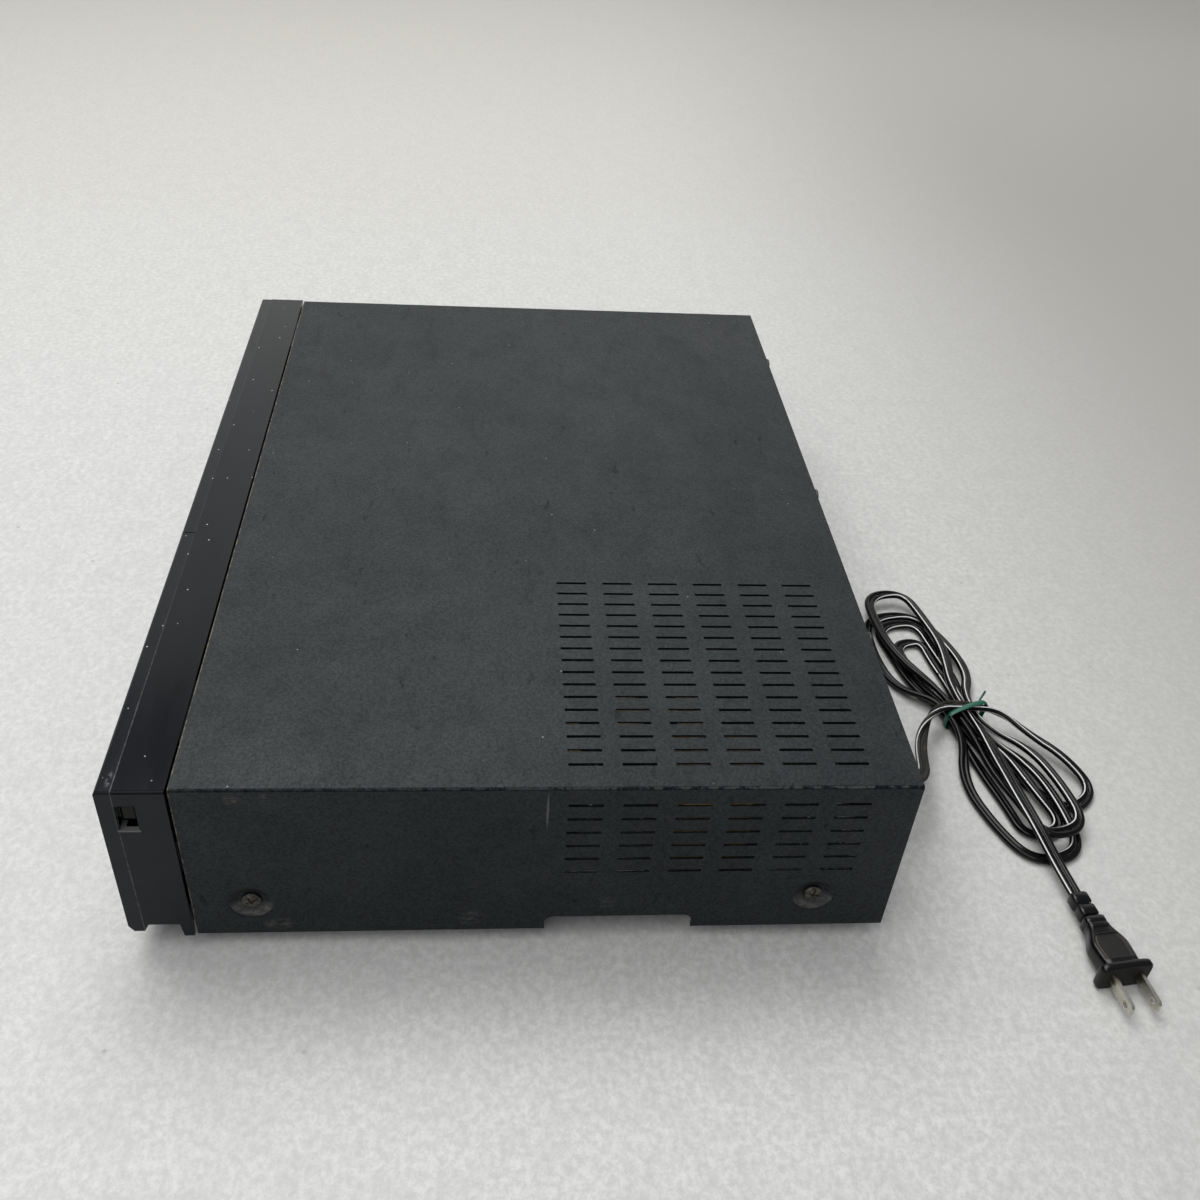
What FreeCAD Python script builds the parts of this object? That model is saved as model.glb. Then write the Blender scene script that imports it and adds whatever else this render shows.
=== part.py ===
import FreeCAD, Part
import math
import os

# A front-loading video cassette recorder, built as its separate pieces.
# Millimetres. Seen from the front, +X is to the right, +Y goes to the rear and +Z is up.
# The feet stand on z = 0, and the middle of the case, front to rear, is over the origin.
# Places inside the case are given as depths behind the front edge of the steel cover.

os.makedirs("parts", exist_ok=True)
Vector = FreeCAD.Vector
RIGHT = Vector(1, 0, 0)
REAR = Vector(0, 1, 0)
UP = Vector(0, 0, 1)

# Fits
running_fit = 0.07
easy_gap = 0.3

# Steel cover
cover_width = 430.0
cover_depth = 294.5
cover_height = 87.0
cover_lift = 9.0
sheet = 0.8
cover_bend = 1.3
rear_lip = 8.0
slot_width = 1.5
slot_length = 14.0
slot_columns = 6
top_slot_rows = 16
side_slot_rows = 6
first_slot_depth = 152.3
slot_column_pitch = 21.64
first_top_row = 83.96
top_row_pitch = 7.87
side_row_below_top = 9.8
side_row_pitch = 7.98
dimple_depths = (23.9, 260.8)
dimple_height = 19.5
dimple_diameter = 19.5
dimple_floor_diameter = 11.0
dimple_depth = 2.4
notch_depth = 145.4
notch_length = 63.7
notch_height = 7.85
notch_corner = 4.0

# Screws
screw_shank = 3.0
screw_length = 7.0
screw_head = 8.2
screw_head_height = 2.1
screw_bevel = 0.6
screw_in_pan = 0.05
rear_screw_offsets = (-150.0, 0.0, 120.0)

# Chassis pan and feet
pan_sheet = 1.0
pan_inset = 0.6
pan_front = 3.0
pan_side_height = 32.0
pan_end_height = 10.5
foot_diameter = 23.0
foot_edge = 1.0
foot_taper = 0.5
foot_offset = 180.0
foot_depths = (36.0, 256.0)

# Plastic front
front_depth = 27.0
front_overhang = 1.0
front_gap = 1.0
plate_depth = 6.3
plate_wall = 2.2
plate_edge = 1.3
frame_wall = 2.2
frame_inset = 1.0
joint_offset = 46.8
joint_gap = 0.3
plate_lift = 3.5
plate_chamfer = 3.4
plate_chamfer_depth = 2.0
frame_lift = 7.6
skirt_depth = 5.1
skirt_wall = 2.2
latch_depth = 7.8
latch_height = 13.6
latch_below_top = 7.6
latch_block = 8.0
tongue_length = 6.0
tongue_thickness = 1.2
tongue_width = 18.0
tongue_level = 57.0
tongue_from_side = 45.0

# Cassette, and the way that it takes into the machine
deck_offset = -90.0
cassette_width = 188.0
cassette_height = 25.0
cassette_depth = 103.0
load_travel = 66.0
lower_travel = 21.0
mouth_width = 192.0
mouth_height = 30.0
mouth_below_top = 4.5
flap_thickness = 2.0
flap_pin = 1.0
flap_ear = 2.0

# Buttons: name, offset from the middle, height, width, tall
button_rows = (
    ("power_button", 193.0, 74.0, 22.0, 10.0),
    ("rewind_button", 70.0, 47.0, 20.0, 8.0),
    ("play_button", 94.0, 47.0, 20.0, 8.0),
    ("fast_forward_button", 118.0, 47.0, 20.0, 8.0),
    ("stop_button", 142.0, 47.0, 20.0, 8.0),
    ("pause_button", 166.0, 47.0, 20.0, 8.0),
    ("record_button", 190.0, 47.0, 20.0, 8.0),
    ("eject_button", 78.0, 29.0, 36.0, 7.0),
    ("channel_down_button", 150.0, 29.0, 16.0, 7.0),
    ("channel_up_button", 172.0, 29.0, 16.0, 7.0),
)
button_proud = 1.2
button_travel = 0.8
button_edge = 0.5
button_flange = 1.0
button_stem = 4.0
switch_size = 6.0
switch_height = 3.5
front_board_depth = 8.0
front_board_inset = 6.0
board_thickness = 1.6
board_boss = 2.5
board_boss_offsets = (42.0, 200.0)
board_boss_levels = (38.0, 60.0)
window_offset = 112.0
window_width = 104.0
window_height = 22.0
window_level = 74.0
window_thickness = 2.0
display_width = 84.0
display_height = 16.0
display_thickness = 6.0

# Boards and what stands on them
board_lift = 4.4
board_post = 3.0
main_board_left = -206.0
main_board_right = 62.0
main_board_front = 8.0
main_board_rear = 288.0
power_board_left = 72.0
power_board_right = 206.0
power_board_front = 128.0
power_board_rear = 286.0
board_post_inset = 6.0
transformer_offset = 184.0
transformer_depth = 214.0
core_width = 26.0
core_length = 46.0
core_height = 62.0
core_window = 11.0
coil_bulge = 9.0
transformer_lift = 4.0
chip_left = -168.0
chip_front = 48.0
chip_column_pitch = 62.0
chip_row_pitch = 108.0
chip_length = 24.0
chip_width = 10.0
chip_height = 4.0
small_can_offsets = (-44.0, -28.0, -12.0, 4.0, 20.0)
small_can_clear_of_deck = 12.0
small_can_radius = 4.0
small_can_height = 14.0
mains_can_offset = 134.0
mains_can_depths = (184.0, 214.0)
mains_can_radius = 11.0
mains_can_height = 44.0
filter_can_offsets = (120.0, 140.0, 160.0)
filter_can_depth = 158.0
filter_can_radius = 6.0
filter_can_height = 24.0
sink_offset = 88.0
sink_depth = 160.0
sink_length = 78.0
sink_height = 44.0
sink_plate = 3.0
sink_fin_reach = 13.0
sink_fin = 1.6
sink_fins = 5
sink_fin_lift = 3.0
can_left = -200.0
can_width = 80.0
can_depth = 27.0
can_height = 62.0
connector_offset = -165.0
connector_levels = (46.0, 68.0)
connector_diameter = 9.5
connector_reach = 8.8
collar_height = 1.4
jack_offsets = (-98.0, -78.0)
jack_levels = (40.0, 55.0, 70.0)
jack_diameter = 8.3
jack_reach = 8.4
jack_bore = 3.4
jack_block_depth = 14.0
switch_offset = -140.0
switch_level = 30.0
switch_travel = 1.5
switch_knob = 3.0
switch_knob_reach = 2.0
switch_slot_height = 3.0
shoe_half = 4.5
shoe_edge = 2.0
shoe_thickness = 0.7

# Rear panel and cord entry
rear_panel_sheet = 1.0
gland_offset = 150.0
gland_level = 30.0
gland_length = 18.0
gland_root = 6.0
gland_tip = 3.9
gland_flange = 9.0

# Deck
deck_left = -198.0
deck_right = 60.0
deck_front = 18.0
deck_rear = 256.0
deck_lift = 22.4
deck_sheet = 1.5
deck_lip = 5.0
deck_post = 4.0
deck_post_inset = 9.0
reel_spacing = 92.0
reel_depth = 122.0
reel_radius = 22.0
reel_rim = 3.5
spindle_radius = 4.0
spindle_height = 19.0
reel_post = 2.0
clutch_depth = 105.0
clutch_pulley_radius = 13.0
clutch_hub_radius = 8.6
clutch_shaft = 3.0
idler_radius = 18.0
idler_arm_length = 27.0
arm_sheet = 1.2
datum_post = 3.0
datum_height = 6.2
datum_offset = 80.0
datum_depths = (92.0, 162.0)

# Head drum
drum_depth = 215.0
drum_radius = 31.0
drum_tilt = 5.97
lower_drum_height = 17.0
upper_drum_height = 18.0
drum_gap = 0.3
drum_shaft = 3.0
drum_recess = 3.0
drum_hub = 9.0
drum_foot = 33.0
drum_foot_height = 2.5

# Capstan, pinch roller and heads
capstan_offset = 72.0
capstan_depth = 196.0
capstan_shaft = 1.6
capstan_height = 30.0
capstan_boss = 5.0
capstan_boss_height = 10.5
rotor_radius = 28.0
rotor_thickness = 4.0
capstan_pulley_radius = 8.0
belt_level = 4.2
belt_thickness = 1.5
pinch_pivot_offset = 88.0
pinch_pivot_depth = 214.0
pinch_arm_length = 19.2
pinch_roller_radius = 7.5
pinch_roller_height = 14.0
pinch_level = 9.0
guide_offset_start = 46.0
guide_offset_end = 42.0
guide_depth_start = 170.0
guide_travel = 60.0
guide_slot = 4.6
guide_pin = 2.0
guide_base = 4.5
guide_foot = 1.9
guide_flange = 1.3
guide_roller = 3.0
guide_height = 27.0
head_offset = 60.0
head_depth = 216.0

# Loading gear train
gear_module = 0.8
pinion_teeth = 16
cam_teeth = 56
gear_backlash = 0.2
gear_thickness = 4.0
cam_offset = 124.0
cam_depth = 112.0
cam_post = 2.5
motor_radius = 12.0
motor_height = 25.0
motor_bevel = 1.2
bridge_half = 14.0
bridge_wall = 2.0
bridge_front = 4.0
bridge_rear = 13.0
bridge_sheet = 1.2
bridge_clear_of_gear = 2.6

# Cassette carriage
holder_sheet = 1.0
holder_depth = 96.0
holder_front = 80.0
holder_ledge = 8.0
holder_top_gap = 0.6
bracket_sheet = 1.2
bracket_gap = 0.7
bracket_front = 22.0
bracket_rear = 186.0
bracket_top = 90.0
bracket_foot = 8.0
carriage_pin = 1.5
front_pin_depth = 18.0
rear_pin_depth = 78.0
front_pin_level = 8.0
rear_pin_level = 16.0
slider_sheet = 1.5
slider_front = 86.0
slider_rear = 180.0
slider_low = 44.0
slider_high = 88.0
slider_stud = 2.0
slider_stud_depth = 106.0
slider_stud_levels = (49.0, 84.2)

# Mains cord: a flat twin lead, drawn as an eight-sided tube
cord_tube = 3.8
tie_band = 3.5
tie_thickness = 0.6
tie_tail = 13.0
tie_clearance = 0.2

# Plug
plug_flange = (4.0, 26.0, 14.6)
plug_body_length = 23.0
plug_neck = 11.0
plug_waist = 15.5
plug_height = 10.0
relief_length = 17.0
relief_width = 8.6
relief_height = 7.4
blade_spacing = 12.7
blade_width = 6.35
blade_thickness = 1.5
blade_length = 16.5
blade_hole = 1.6

# Levels and places that follow from the sizes
half_cover = cover_width / 2
half_front = half_cover + front_overhang
case_top = cover_lift + cover_height
pan_under = cover_lift + pan_inset
pan_top = pan_under + pan_sheet
pan_half = half_cover - sheet - dimple_depth
panel_depth = cover_depth - sheet
rear_reach = panel_depth + max(connector_reach, gland_length)
seam_y = (front_depth + button_proud - rear_reach) / 2
board_under = pan_top + board_lift
board_top = board_under + board_thickness
deck_under = pan_top + deck_lift
deck_top = deck_under + deck_sheet
mouth_top = case_top - mouth_below_top
mouth_bottom = mouth_top - mouth_height
raised_floor = mouth_bottom + 0.5
floor_y = seam_y + cover_depth


def behind(depth):
    """The y of a place at this depth behind the cover's front edge."""
    return seam_y + depth


def box(x0, x1, y0, y1, z0, z1):
    return Part.makeBox(x1 - x0, y1 - y0, z1 - z0, Vector(x0, y0, z0))


def rod(radius, start, length, axis=UP):
    return Part.makeCylinder(radius, length, Vector(*start), axis)


def lathe(profile, x, y):
    """A turned piece: a closed profile of radius and height, spun about the upright line at x, y."""
    outline = Part.makePolygon([Vector(x + r, y, z) for r, z in profile + profile[:1]])
    return Part.Face(outline).revolve(Vector(x, y, 0), UP, 360)


def plate(points, z0, z1):
    """An upright prism over a closed outline of x, y points."""
    outline = Part.makePolygon([Vector(x, y, z0) for x, y in points + points[:1]])
    return Part.Face(outline).extrude(Vector(0, 0, z1 - z0))


def joined(first, *others):
    return first.multiFuse(list(others)).removeSplitter()


def save(name, *solids):
    pieces = [s for shape in solids for s in shape.Solids]
    shape = Part.makeCompound(pieces) if len(pieces) > 1 else pieces[0]
    shape.exportStep(f"parts/{name}.step")
    print(f"{name}: {len(pieces)} solids, {sum(s.Volume for s in pieces):.1f} mm3")


def long_edges(shape, direction, keep):
    """The straight edges along a direction whose middle passes the test keep(x, y, z)."""
    found = []
    for edge in shape.Edges:
        ends = [v.Point for v in edge.Vertexes]
        if len(ends) == 2 and (ends[1] - ends[0]).cross(direction).Length < 1e-6:
            if keep(*edge.CenterOfMass):
                found.append(edge)
    return found


# Steel cover: one sheet bent over the top and both sides, with lips turned in round the rear panel
def make_top_cover():
    front, rear = seam_y, behind(cover_depth)
    outside = box(-half_cover, half_cover, front, rear, cover_lift, case_top)
    inner_half = half_cover - sheet
    inside = box(-inner_half, inner_half, front - 1, rear + 1, cover_lift - 1, case_top - sheet)
    outside = outside.makeFillet(cover_bend, long_edges(outside, REAR, lambda x, y, z: z > case_top - 1))
    inside = inside.makeFillet(
        cover_bend - sheet, long_edges(inside, REAR, lambda x, y, z: z > case_top - sheet - 1)
    )
    lip_end = inner_half - cover_bend
    top_lip = box(-lip_end, lip_end, rear - sheet, rear, case_top - rear_lip, case_top - sheet / 2)
    solids = [top_lip]
    for side in (-1, 1):
        edge, deep = side * (half_cover - sheet / 2), side * (half_cover - rear_lip)
        low, high = cover_lift + rear_lip, case_top - rear_lip - cover_bend
        solids.append(box(min(edge, deep), max(edge, deep), rear - sheet, rear, low, high))
        for depth in dimple_depths:
            at = (side * inner_half, behind(depth), cover_lift + dimple_height)
            solids.append(
                Part.makeCone(
                    dimple_diameter / 2 + sheet,
                    dimple_floor_diameter / 2 + sheet,
                    dimple_depth,
                    Vector(*at),
                    RIGHT * -side,
                )
            )
    shell = outside.cut(inside).multiFuse(solids)
    cuts = []
    for side in (-1, 1):
        for depth in dimple_depths:
            at = (side * half_cover, behind(depth), cover_lift + dimple_height)
            cuts.append(
                Part.makeCone(
                    dimple_diameter / 2,
                    dimple_floor_diameter / 2,
                    dimple_depth,
                    Vector(*at),
                    RIGHT * -side,
                )
            )
            cuts.append(rod(screw_shank / 2 + easy_gap, at, 3 * dimple_depth, RIGHT * -side))
    for column in range(slot_columns):
        y0 = behind(first_slot_depth + column * slot_column_pitch)
        y1 = y0 + slot_length
        for row in range(top_slot_rows):
            x = first_top_row + row * top_row_pitch
            cuts.append(box(x - slot_width / 2, x + slot_width / 2, y0, y1, case_top - 2, case_top + 1))
        for row in range(side_slot_rows):
            z = case_top - side_row_below_top - row * side_row_pitch
            low, high = z - slot_width / 2, z + slot_width / 2
            cuts.append(box(half_cover - 2, half_cover + 1, y0, y1, low, high))
    for x in rear_screw_offsets:
        at = (x, behind(cover_depth) + 1, case_top - rear_lip / 2)
        cuts.append(rod(screw_shank / 2 + easy_gap, at, 3, -REAR))
    notch = box(
        -half_cover - 1,
        half_cover + 1,
        behind(notch_depth),
        behind(notch_depth + notch_length),
        cover_lift - 1,
        cover_lift + notch_height,
    )
    notch = notch.makeFillet(notch_corner, long_edges(notch, RIGHT, lambda x, y, z: z > cover_lift))
    cuts.append(notch)
    return shell.cut(Part.makeCompound(cuts)).removeSplitter()


# Screws: pan heads, two in the dimples of each side and three along the rear lip
def make_cover_screws():
    screws = []
    dimple_floor = half_cover - dimple_depth

    def screw(face, inward):
        head = rod(screw_head / 2, face, screw_head_height, inward * -1)
        rim = [e for e in head.Edges if abs((e.CenterOfMass - Vector(*face)).dot(inward)) > 1]
        head = head.makeChamfer(screw_bevel, rim)
        return joined(head, rod(screw_shank / 2, face, screw_length, inward))

    for side in (-1, 1):
        for depth in dimple_depths:
            face = (side * dimple_floor, behind(depth), cover_lift + dimple_height)
            screws.append(screw(face, RIGHT * -side))
    for x in rear_screw_offsets:
        screws.append(screw((x, behind(cover_depth), case_top - rear_lip / 2), -REAR))
    return screws


# Chassis pan: the steel tray that carries everything, with bosses pressed up for the boards and deck
def board_corners(left, right, front, rear):
    inset = board_post_inset
    return [(x, y) for x in (left + inset, right - inset) for y in (front + inset, rear - inset)]


def deck_corners():
    inset = deck_post_inset
    return [
        (x, y)
        for x in (deck_left + inset, deck_right - inset)
        for y in (deck_front + inset, deck_rear - inset)
    ]


def make_chassis_pan():
    front, rear = behind(pan_front), behind(panel_depth - rear_panel_sheet)
    tray = box(-pan_half, pan_half, front, rear, pan_under, pan_under + pan_side_height)
    hollow = box(
        -pan_half + pan_sheet,
        pan_half - pan_sheet,
        front + pan_sheet,
        rear - pan_sheet,
        pan_top,
        pan_under + pan_side_height + 1,
    )
    lower_ends = box(
        -pan_half + pan_sheet,
        pan_half - pan_sheet,
        front - 1,
        rear + 1,
        pan_under + pan_end_height,
        pan_under + pan_side_height + 1,
    )
    posts = [
        rod(deck_post, (x, behind(y), pan_top - pan_sheet / 2), deck_under - pan_top + pan_sheet / 2)
        for x, y in deck_corners()
    ]
    boards = board_corners(main_board_left, main_board_right, main_board_front, main_board_rear)
    boards += board_corners(power_board_left, power_board_right, power_board_front, power_board_rear)
    posts += [
        rod(board_post, (x, behind(y), pan_top - pan_sheet / 2), board_under - pan_top + pan_sheet / 2)
        for x, y in boards
    ]
    cuts = []
    for side in (-1, 1):
        edges = (side * (pan_half + 1), side * (pan_half - 12))
        cuts.append(
            box(
                min(edges),
                max(edges),
                behind(notch_depth) - easy_gap,
                behind(notch_depth + notch_length) + easy_gap,
                pan_under - 1,
                cover_lift + notch_height + easy_gap,
            )
        )
        for depth in dimple_depths:
            at = (side * (pan_half + 1), behind(depth), cover_lift + dimple_height)
            cuts.append(rod(screw_shank / 2 + screw_in_pan, at, 5, RIGHT * -side))
    return tray.cut(hollow).cut(lower_ends).multiFuse(posts).cut(Part.makeCompound(cuts)).removeSplitter()


# Feet: four moulded feet under the pan
def make_feet():
    radius = foot_diameter / 2
    profile = [
        (0, 0),
        (radius - foot_edge, 0),
        (radius, foot_edge),
        (radius - foot_taper, pan_under),
        (0, pan_under),
    ]
    return [lathe(profile, side * foot_offset, behind(depth)) for side in (-1, 1) for depth in foot_depths]


# Rear panel: a flat steel sheet inside the cover's lips, pierced for the sockets and the cord
def make_rear_panel():
    half = half_cover - sheet - easy_gap
    front, rear = behind(panel_depth - rear_panel_sheet), behind(panel_depth)
    panel = box(-half, half, front, rear, pan_top + easy_gap, case_top - sheet - easy_gap)
    cuts = []
    for z in connector_levels:
        cuts.append(rod(connector_diameter / 2, (connector_offset, rear + 1, z), 4, -REAR))
    for x in jack_offsets:
        for z in jack_levels:
            cuts.append(rod(jack_diameter / 2, (x, rear + 1, z), 4, -REAR))
    for x in rear_screw_offsets:
        at = (x, rear + 1, case_top - rear_lip / 2)
        cuts.append(rod(screw_shank / 2 + screw_in_pan, at, 4, -REAR))
    cuts.append(rod(gland_root + easy_gap, (gland_offset, rear + 1, gland_level), 4, -REAR))
    reach = switch_travel + switch_knob / 2 + easy_gap
    slot = switch_slot_height / 2 + easy_gap
    low, high = switch_level - slot, switch_level + slot
    cuts.append(box(switch_offset - reach, switch_offset + reach, front - 1, rear + 1, low, high))
    return panel.cut(Part.makeCompound(cuts))


# Channel switch: a ribbed knob that slides across in its slot in the rear panel
def make_channel_switch():
    face = behind(panel_depth)
    inner = face - rear_panel_sheet - easy_gap
    half = switch_slot_height / 2
    start = inner - shoe_thickness
    left, right = switch_offset - switch_knob / 2, switch_offset + switch_knob / 2
    end = face + switch_knob_reach
    knob = box(left, right, start, end, switch_level - half, switch_level + half)
    shoe = box(
        switch_offset - shoe_half,
        switch_offset + shoe_half,
        start,
        inner,
        switch_level - half - shoe_edge,
        switch_level + half + shoe_edge,
    )
    return joined(knob, shoe)


# Front frame: the rear moulding of the plastic front, open at the back, with a web that carries the plates
def front_plate_face():
    return behind(-front_depth)


def web_face():
    return behind(-front_depth + plate_depth)


def make_fascia_frame():
    face, back = web_face(), behind(-front_gap)
    low, high = cover_lift + plate_lift, case_top
    foot = cover_lift + frame_lift
    skirt = back - skirt_depth + frame_inset
    side = [
        (face, low),
        (face + 2.0, foot),
        (skirt - 1.0, foot),
        (skirt, cover_lift),
        (back, cover_lift),
        (back, high),
        (face, high),
    ]
    outline = Part.makePolygon([Vector(-half_front, y, z) for y, z in side + side[:1]])
    body = Part.Face(outline).extrude(Vector(2 * half_front, 0, 0))
    body = body.makeFillet(plate_edge / 2, long_edges(body, REAR, lambda x, y, z: z > high - 1))
    inner = half_front - frame_wall
    hollow = box(-inner, inner, face + frame_wall, back + 1, foot + frame_wall, high - frame_wall)
    behind_skirt = box(-inner, inner, skirt + skirt_wall, back + 1, cover_lift - 1, foot + frame_wall + 1)
    mouth_half = mouth_width / 2 + 4.5
    cuts = [
        hollow,
        behind_skirt,
        box(
            deck_offset - mouth_half,
            deck_offset + mouth_half,
            face - 1,
            back + 1,
            mouth_bottom - 1,
            high - frame_wall,
        ),
        box(
            window_offset - display_width / 2 - 3,
            window_offset + display_width / 2 + 3,
            face - 1,
            face + frame_wall + 1,
            window_level - display_height / 2 - 2,
            window_level + display_height / 2 + 2,
        ),
    ]
    for name, x, z, wide, tall in button_rows:
        half = button_stem / 2 + easy_gap
        cuts.append(box(x - half, x + half, face - 1, face + frame_wall + 1, z - half, z + half))
    window_top = high - latch_below_top
    for side in (-1, 1):
        edges = (side * (half_front + 1), side * (inner - 2.8))
        cuts.append(
            box(min(edges), max(edges), face - 1, face + latch_depth, window_top - latch_height, window_top)
        )
    posts = []
    post_end = behind(-front_board_depth) - board_thickness
    for x in board_boss_offsets:
        for z in board_boss_levels:
            posts.append(rod(board_boss, (x, face + 1, z), post_end - face - 1, REAR))
    tongues = []
    for side in (-1, 1):
        outer = half_cover - sheet - easy_gap
        edges = (side * outer, side * (outer - tongue_thickness))
        root, tip = back - tongue_length, back + front_gap + tongue_length
        low, high = tongue_level - tongue_width / 2, tongue_level + tongue_width / 2
        tongues.append(box(min(edges), max(edges), root, tip, low, high))
        x = side * (half_cover - tongue_from_side)
        left, right = x - tongue_width, x + tongue_width
        top = case_top - sheet - easy_gap
        tongues.append(box(left, right, root, tip, top - tongue_thickness - 1, top))
    filled = body.cut(Part.makeCompound(cuts))
    return filled.multiFuse(posts + tongues).removeSplitter()


# Front plates: two shallow trays that clip to the frame from the front, with a joint right of the middle
def front_tray(left, right):
    face, back = front_plate_face(), web_face()
    low, high = cover_lift + plate_lift, case_top
    side = [
        (face, low + plate_chamfer),
        (face + plate_chamfer_depth, low),
        (back, low),
        (back, high),
        (face, high),
    ]
    outline = Part.makePolygon([Vector(left, y, z) for y, z in side + side[:1]])
    body = Part.Face(outline).extrude(Vector(right - left, 0, 0))
    body = body.makeFillet(
        plate_edge, long_edges(body, RIGHT, lambda x, y, z: z > high - 1 and y < face + 1)
    )
    hollow = box(
        left + plate_wall,
        right - plate_wall,
        face + plate_wall,
        back + 1,
        low + plate_wall,
        high - plate_wall,
    )
    return body.cut(hollow)


def latch_tab(side, end):
    """The wedge behind a plate's end that snaps into the frame's side window."""
    face = web_face()
    top = case_top - latch_below_top - easy_gap
    inner = side * (end - frame_wall - 0.4)
    deep = side * (end - frame_wall - 2.4)
    tab = box(
        min(inner, deep),
        max(inner, deep),
        face - plate_wall,
        face + latch_depth - easy_gap,
        top - latch_block,
        top,
    )
    catch = side * (end - 0.9)
    hook = box(
        min(catch, deep),
        max(catch, deep),
        face + latch_depth - easy_gap - 5.5,
        face + latch_depth - easy_gap,
        top - latch_block,
        top,
    )
    bridge = box(
        min(inner, deep),
        max(inner, deep),
        front_plate_face() + plate_wall / 2,
        face,
        top - latch_block,
        top,
    )
    return [tab, hook, bridge]


def flap_axis():
    """The depth and height of the flap's hinge line."""
    return front_plate_face() + flap_thickness + 1.0, mouth_top - flap_pin - easy_gap


def make_left_front_panel():
    left = -half_front + frame_inset
    right = joint_offset - joint_gap / 2
    body = front_tray(left, right)
    axis_y, axis_z = flap_axis()
    half = mouth_width / 2
    lugs = []
    for side in (-1, 1):
        edges = sorted((deck_offset + side * (half + 0.2), deck_offset + side * (half + 3.2)))
        lugs.append(
            box(
                edges[0],
                edges[1],
                front_plate_face() + 1,
                axis_y + flap_pin + 2.0,
                axis_z - flap_pin - 2.0,
                case_top - plate_wall / 2,
            )
        )
    body = body.multiFuse(lugs + latch_tab(-1, half_front))
    cuts = [
        box(
            deck_offset - half,
            deck_offset + half,
            front_plate_face() - 1,
            web_face() + 3,
            mouth_bottom,
            mouth_top,
        ),
        rod(
            flap_pin + running_fit,
            (deck_offset - half - 10, axis_y, axis_z),
            mouth_width + 20,
            RIGHT,
        ),
    ]
    return body.cut(Part.makeCompound(cuts)).removeSplitter()


def make_right_front_panel():
    left = joint_offset + joint_gap / 2
    body = front_tray(left, half_front)
    body = body.multiFuse(latch_tab(1, half_front))
    face = front_plate_face()
    cuts = []
    for name, x, z, wide, tall in button_rows:
        w, t = wide / 2 + easy_gap, tall / 2 + easy_gap
        cuts.append(box(x - w, x + w, face - 1, face + plate_wall + 1, z - t, z + t))
    w, t = window_width / 2, window_height / 2
    gap = easy_gap / 2
    cuts.append(
        box(
            window_offset - w - gap,
            window_offset + w + gap,
            face - 1,
            face + 1.2,
            window_level - t - gap,
            window_level + t + gap,
        )
    )
    cuts.append(
        box(
            window_offset - w + 2,
            window_offset + w - 2,
            face - 1,
            face + plate_wall + 1,
            window_level - t + 2,
            window_level + t - 2,
        )
    )
    return body.cut(Part.makeCompound(cuts)).removeSplitter()


# Cassette flap: the door in the mouth, with ears and pins at its top corners; it swings inwards
def make_cassette_flap():
    axis_y, axis_z = flap_axis()
    face = front_plate_face()
    half = mouth_width / 2 - easy_gap
    low, high = mouth_bottom + easy_gap, mouth_top - easy_gap
    door = box(deck_offset - half, deck_offset + half, face, face + flap_thickness, low, high)
    door = door.makeChamfer(0.5, long_edges(door, RIGHT, lambda x, y, z: y < face + 0.1))
    parts = []
    for side in (-1, 1):
        outer = deck_offset + side * half
        inner = outer - side * flap_ear
        parts.append(
            box(
                min(outer, inner),
                max(outer, inner),
                face + 1,
                axis_y + flap_pin,
                axis_z - flap_pin - 1.5,
                axis_z + flap_pin,
            )
        )
        parts.append(rod(flap_pin, (inner, axis_y, axis_z), flap_ear + easy_gap + 2.4, RIGHT * side))
    return joined(door, *parts)


# Display: a smoked window let into the right plate, and the glass tube behind it
def make_display_window():
    face = front_plate_face()
    w, t = window_width / 2, window_height / 2
    outer = box(window_offset - w, window_offset + w, face, face + 1.2, window_level - t, window_level + t)
    inner = box(
        window_offset - w + 2 + easy_gap,
        window_offset + w - 2 - easy_gap,
        face + 1.0,
        face + window_thickness,
        window_level - t + 2 + easy_gap,
        window_level + t - 2 - easy_gap,
    )
    return joined(outer, inner)


def board_face():
    return behind(-front_board_depth) - board_thickness


def make_display_tube():
    w, t = display_width / 2, display_height / 2
    back = board_face()
    tube = box(
        window_offset - w,
        window_offset + w,
        back - 2 - display_thickness,
        back - 2,
        window_level - t,
        window_level + t,
    )
    tube = tube.makeChamfer(1.0, long_edges(tube, UP, lambda x, y, z: True))
    feet = [
        box(x - 2, x + 2, back - 2.5, back, window_level - t + 1, window_level + t - 1)
        for x in (window_offset - w + 8, window_offset + w - 8)
    ]
    return joined(tube, *feet)


# Front board: the upright circuit board behind the right plate, with a push switch for each button
def make_front_board():
    face = board_face()
    board = box(
        joint_offset + front_board_inset,
        half_front - front_board_inset,
        face,
        face + board_thickness,
        cover_lift + frame_lift + front_board_inset,
        case_top - frame_wall - front_board_inset,
    )
    s = switch_size / 2
    switches = []
    for name, x, z, wide, tall in button_rows:
        switches.append(box(x - s, x + s, face - switch_height, face, z - s, z + s))
    return [board] + switches


# Buttons: a cap in the plate, a flange behind it and a stem that reaches the push switch
def make_button(x, z, wide, tall):
    face = front_plate_face()
    w, t = wide / 2, tall / 2
    flange_front = face + plate_wall + easy_gap
    stem_end = board_face() - switch_height - button_travel - easy_gap
    cap = box(x - w, x + w, face - button_proud, flange_front + 0.2, z - t, z + t)
    cap = cap.makeChamfer(
        button_edge,
        [e for e in cap.Edges if abs(e.CenterOfMass.y - (face - button_proud)) < 1e-6],
    )
    flange = box(x - w - 1, x + w + 1, flange_front, flange_front + button_flange, z - t - 1, z + t + 1)
    s = button_stem / 2
    stem = box(x - s, x + s, flange_front, stem_end, z - s, z + s)
    return joined(cap, flange, stem)


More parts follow.
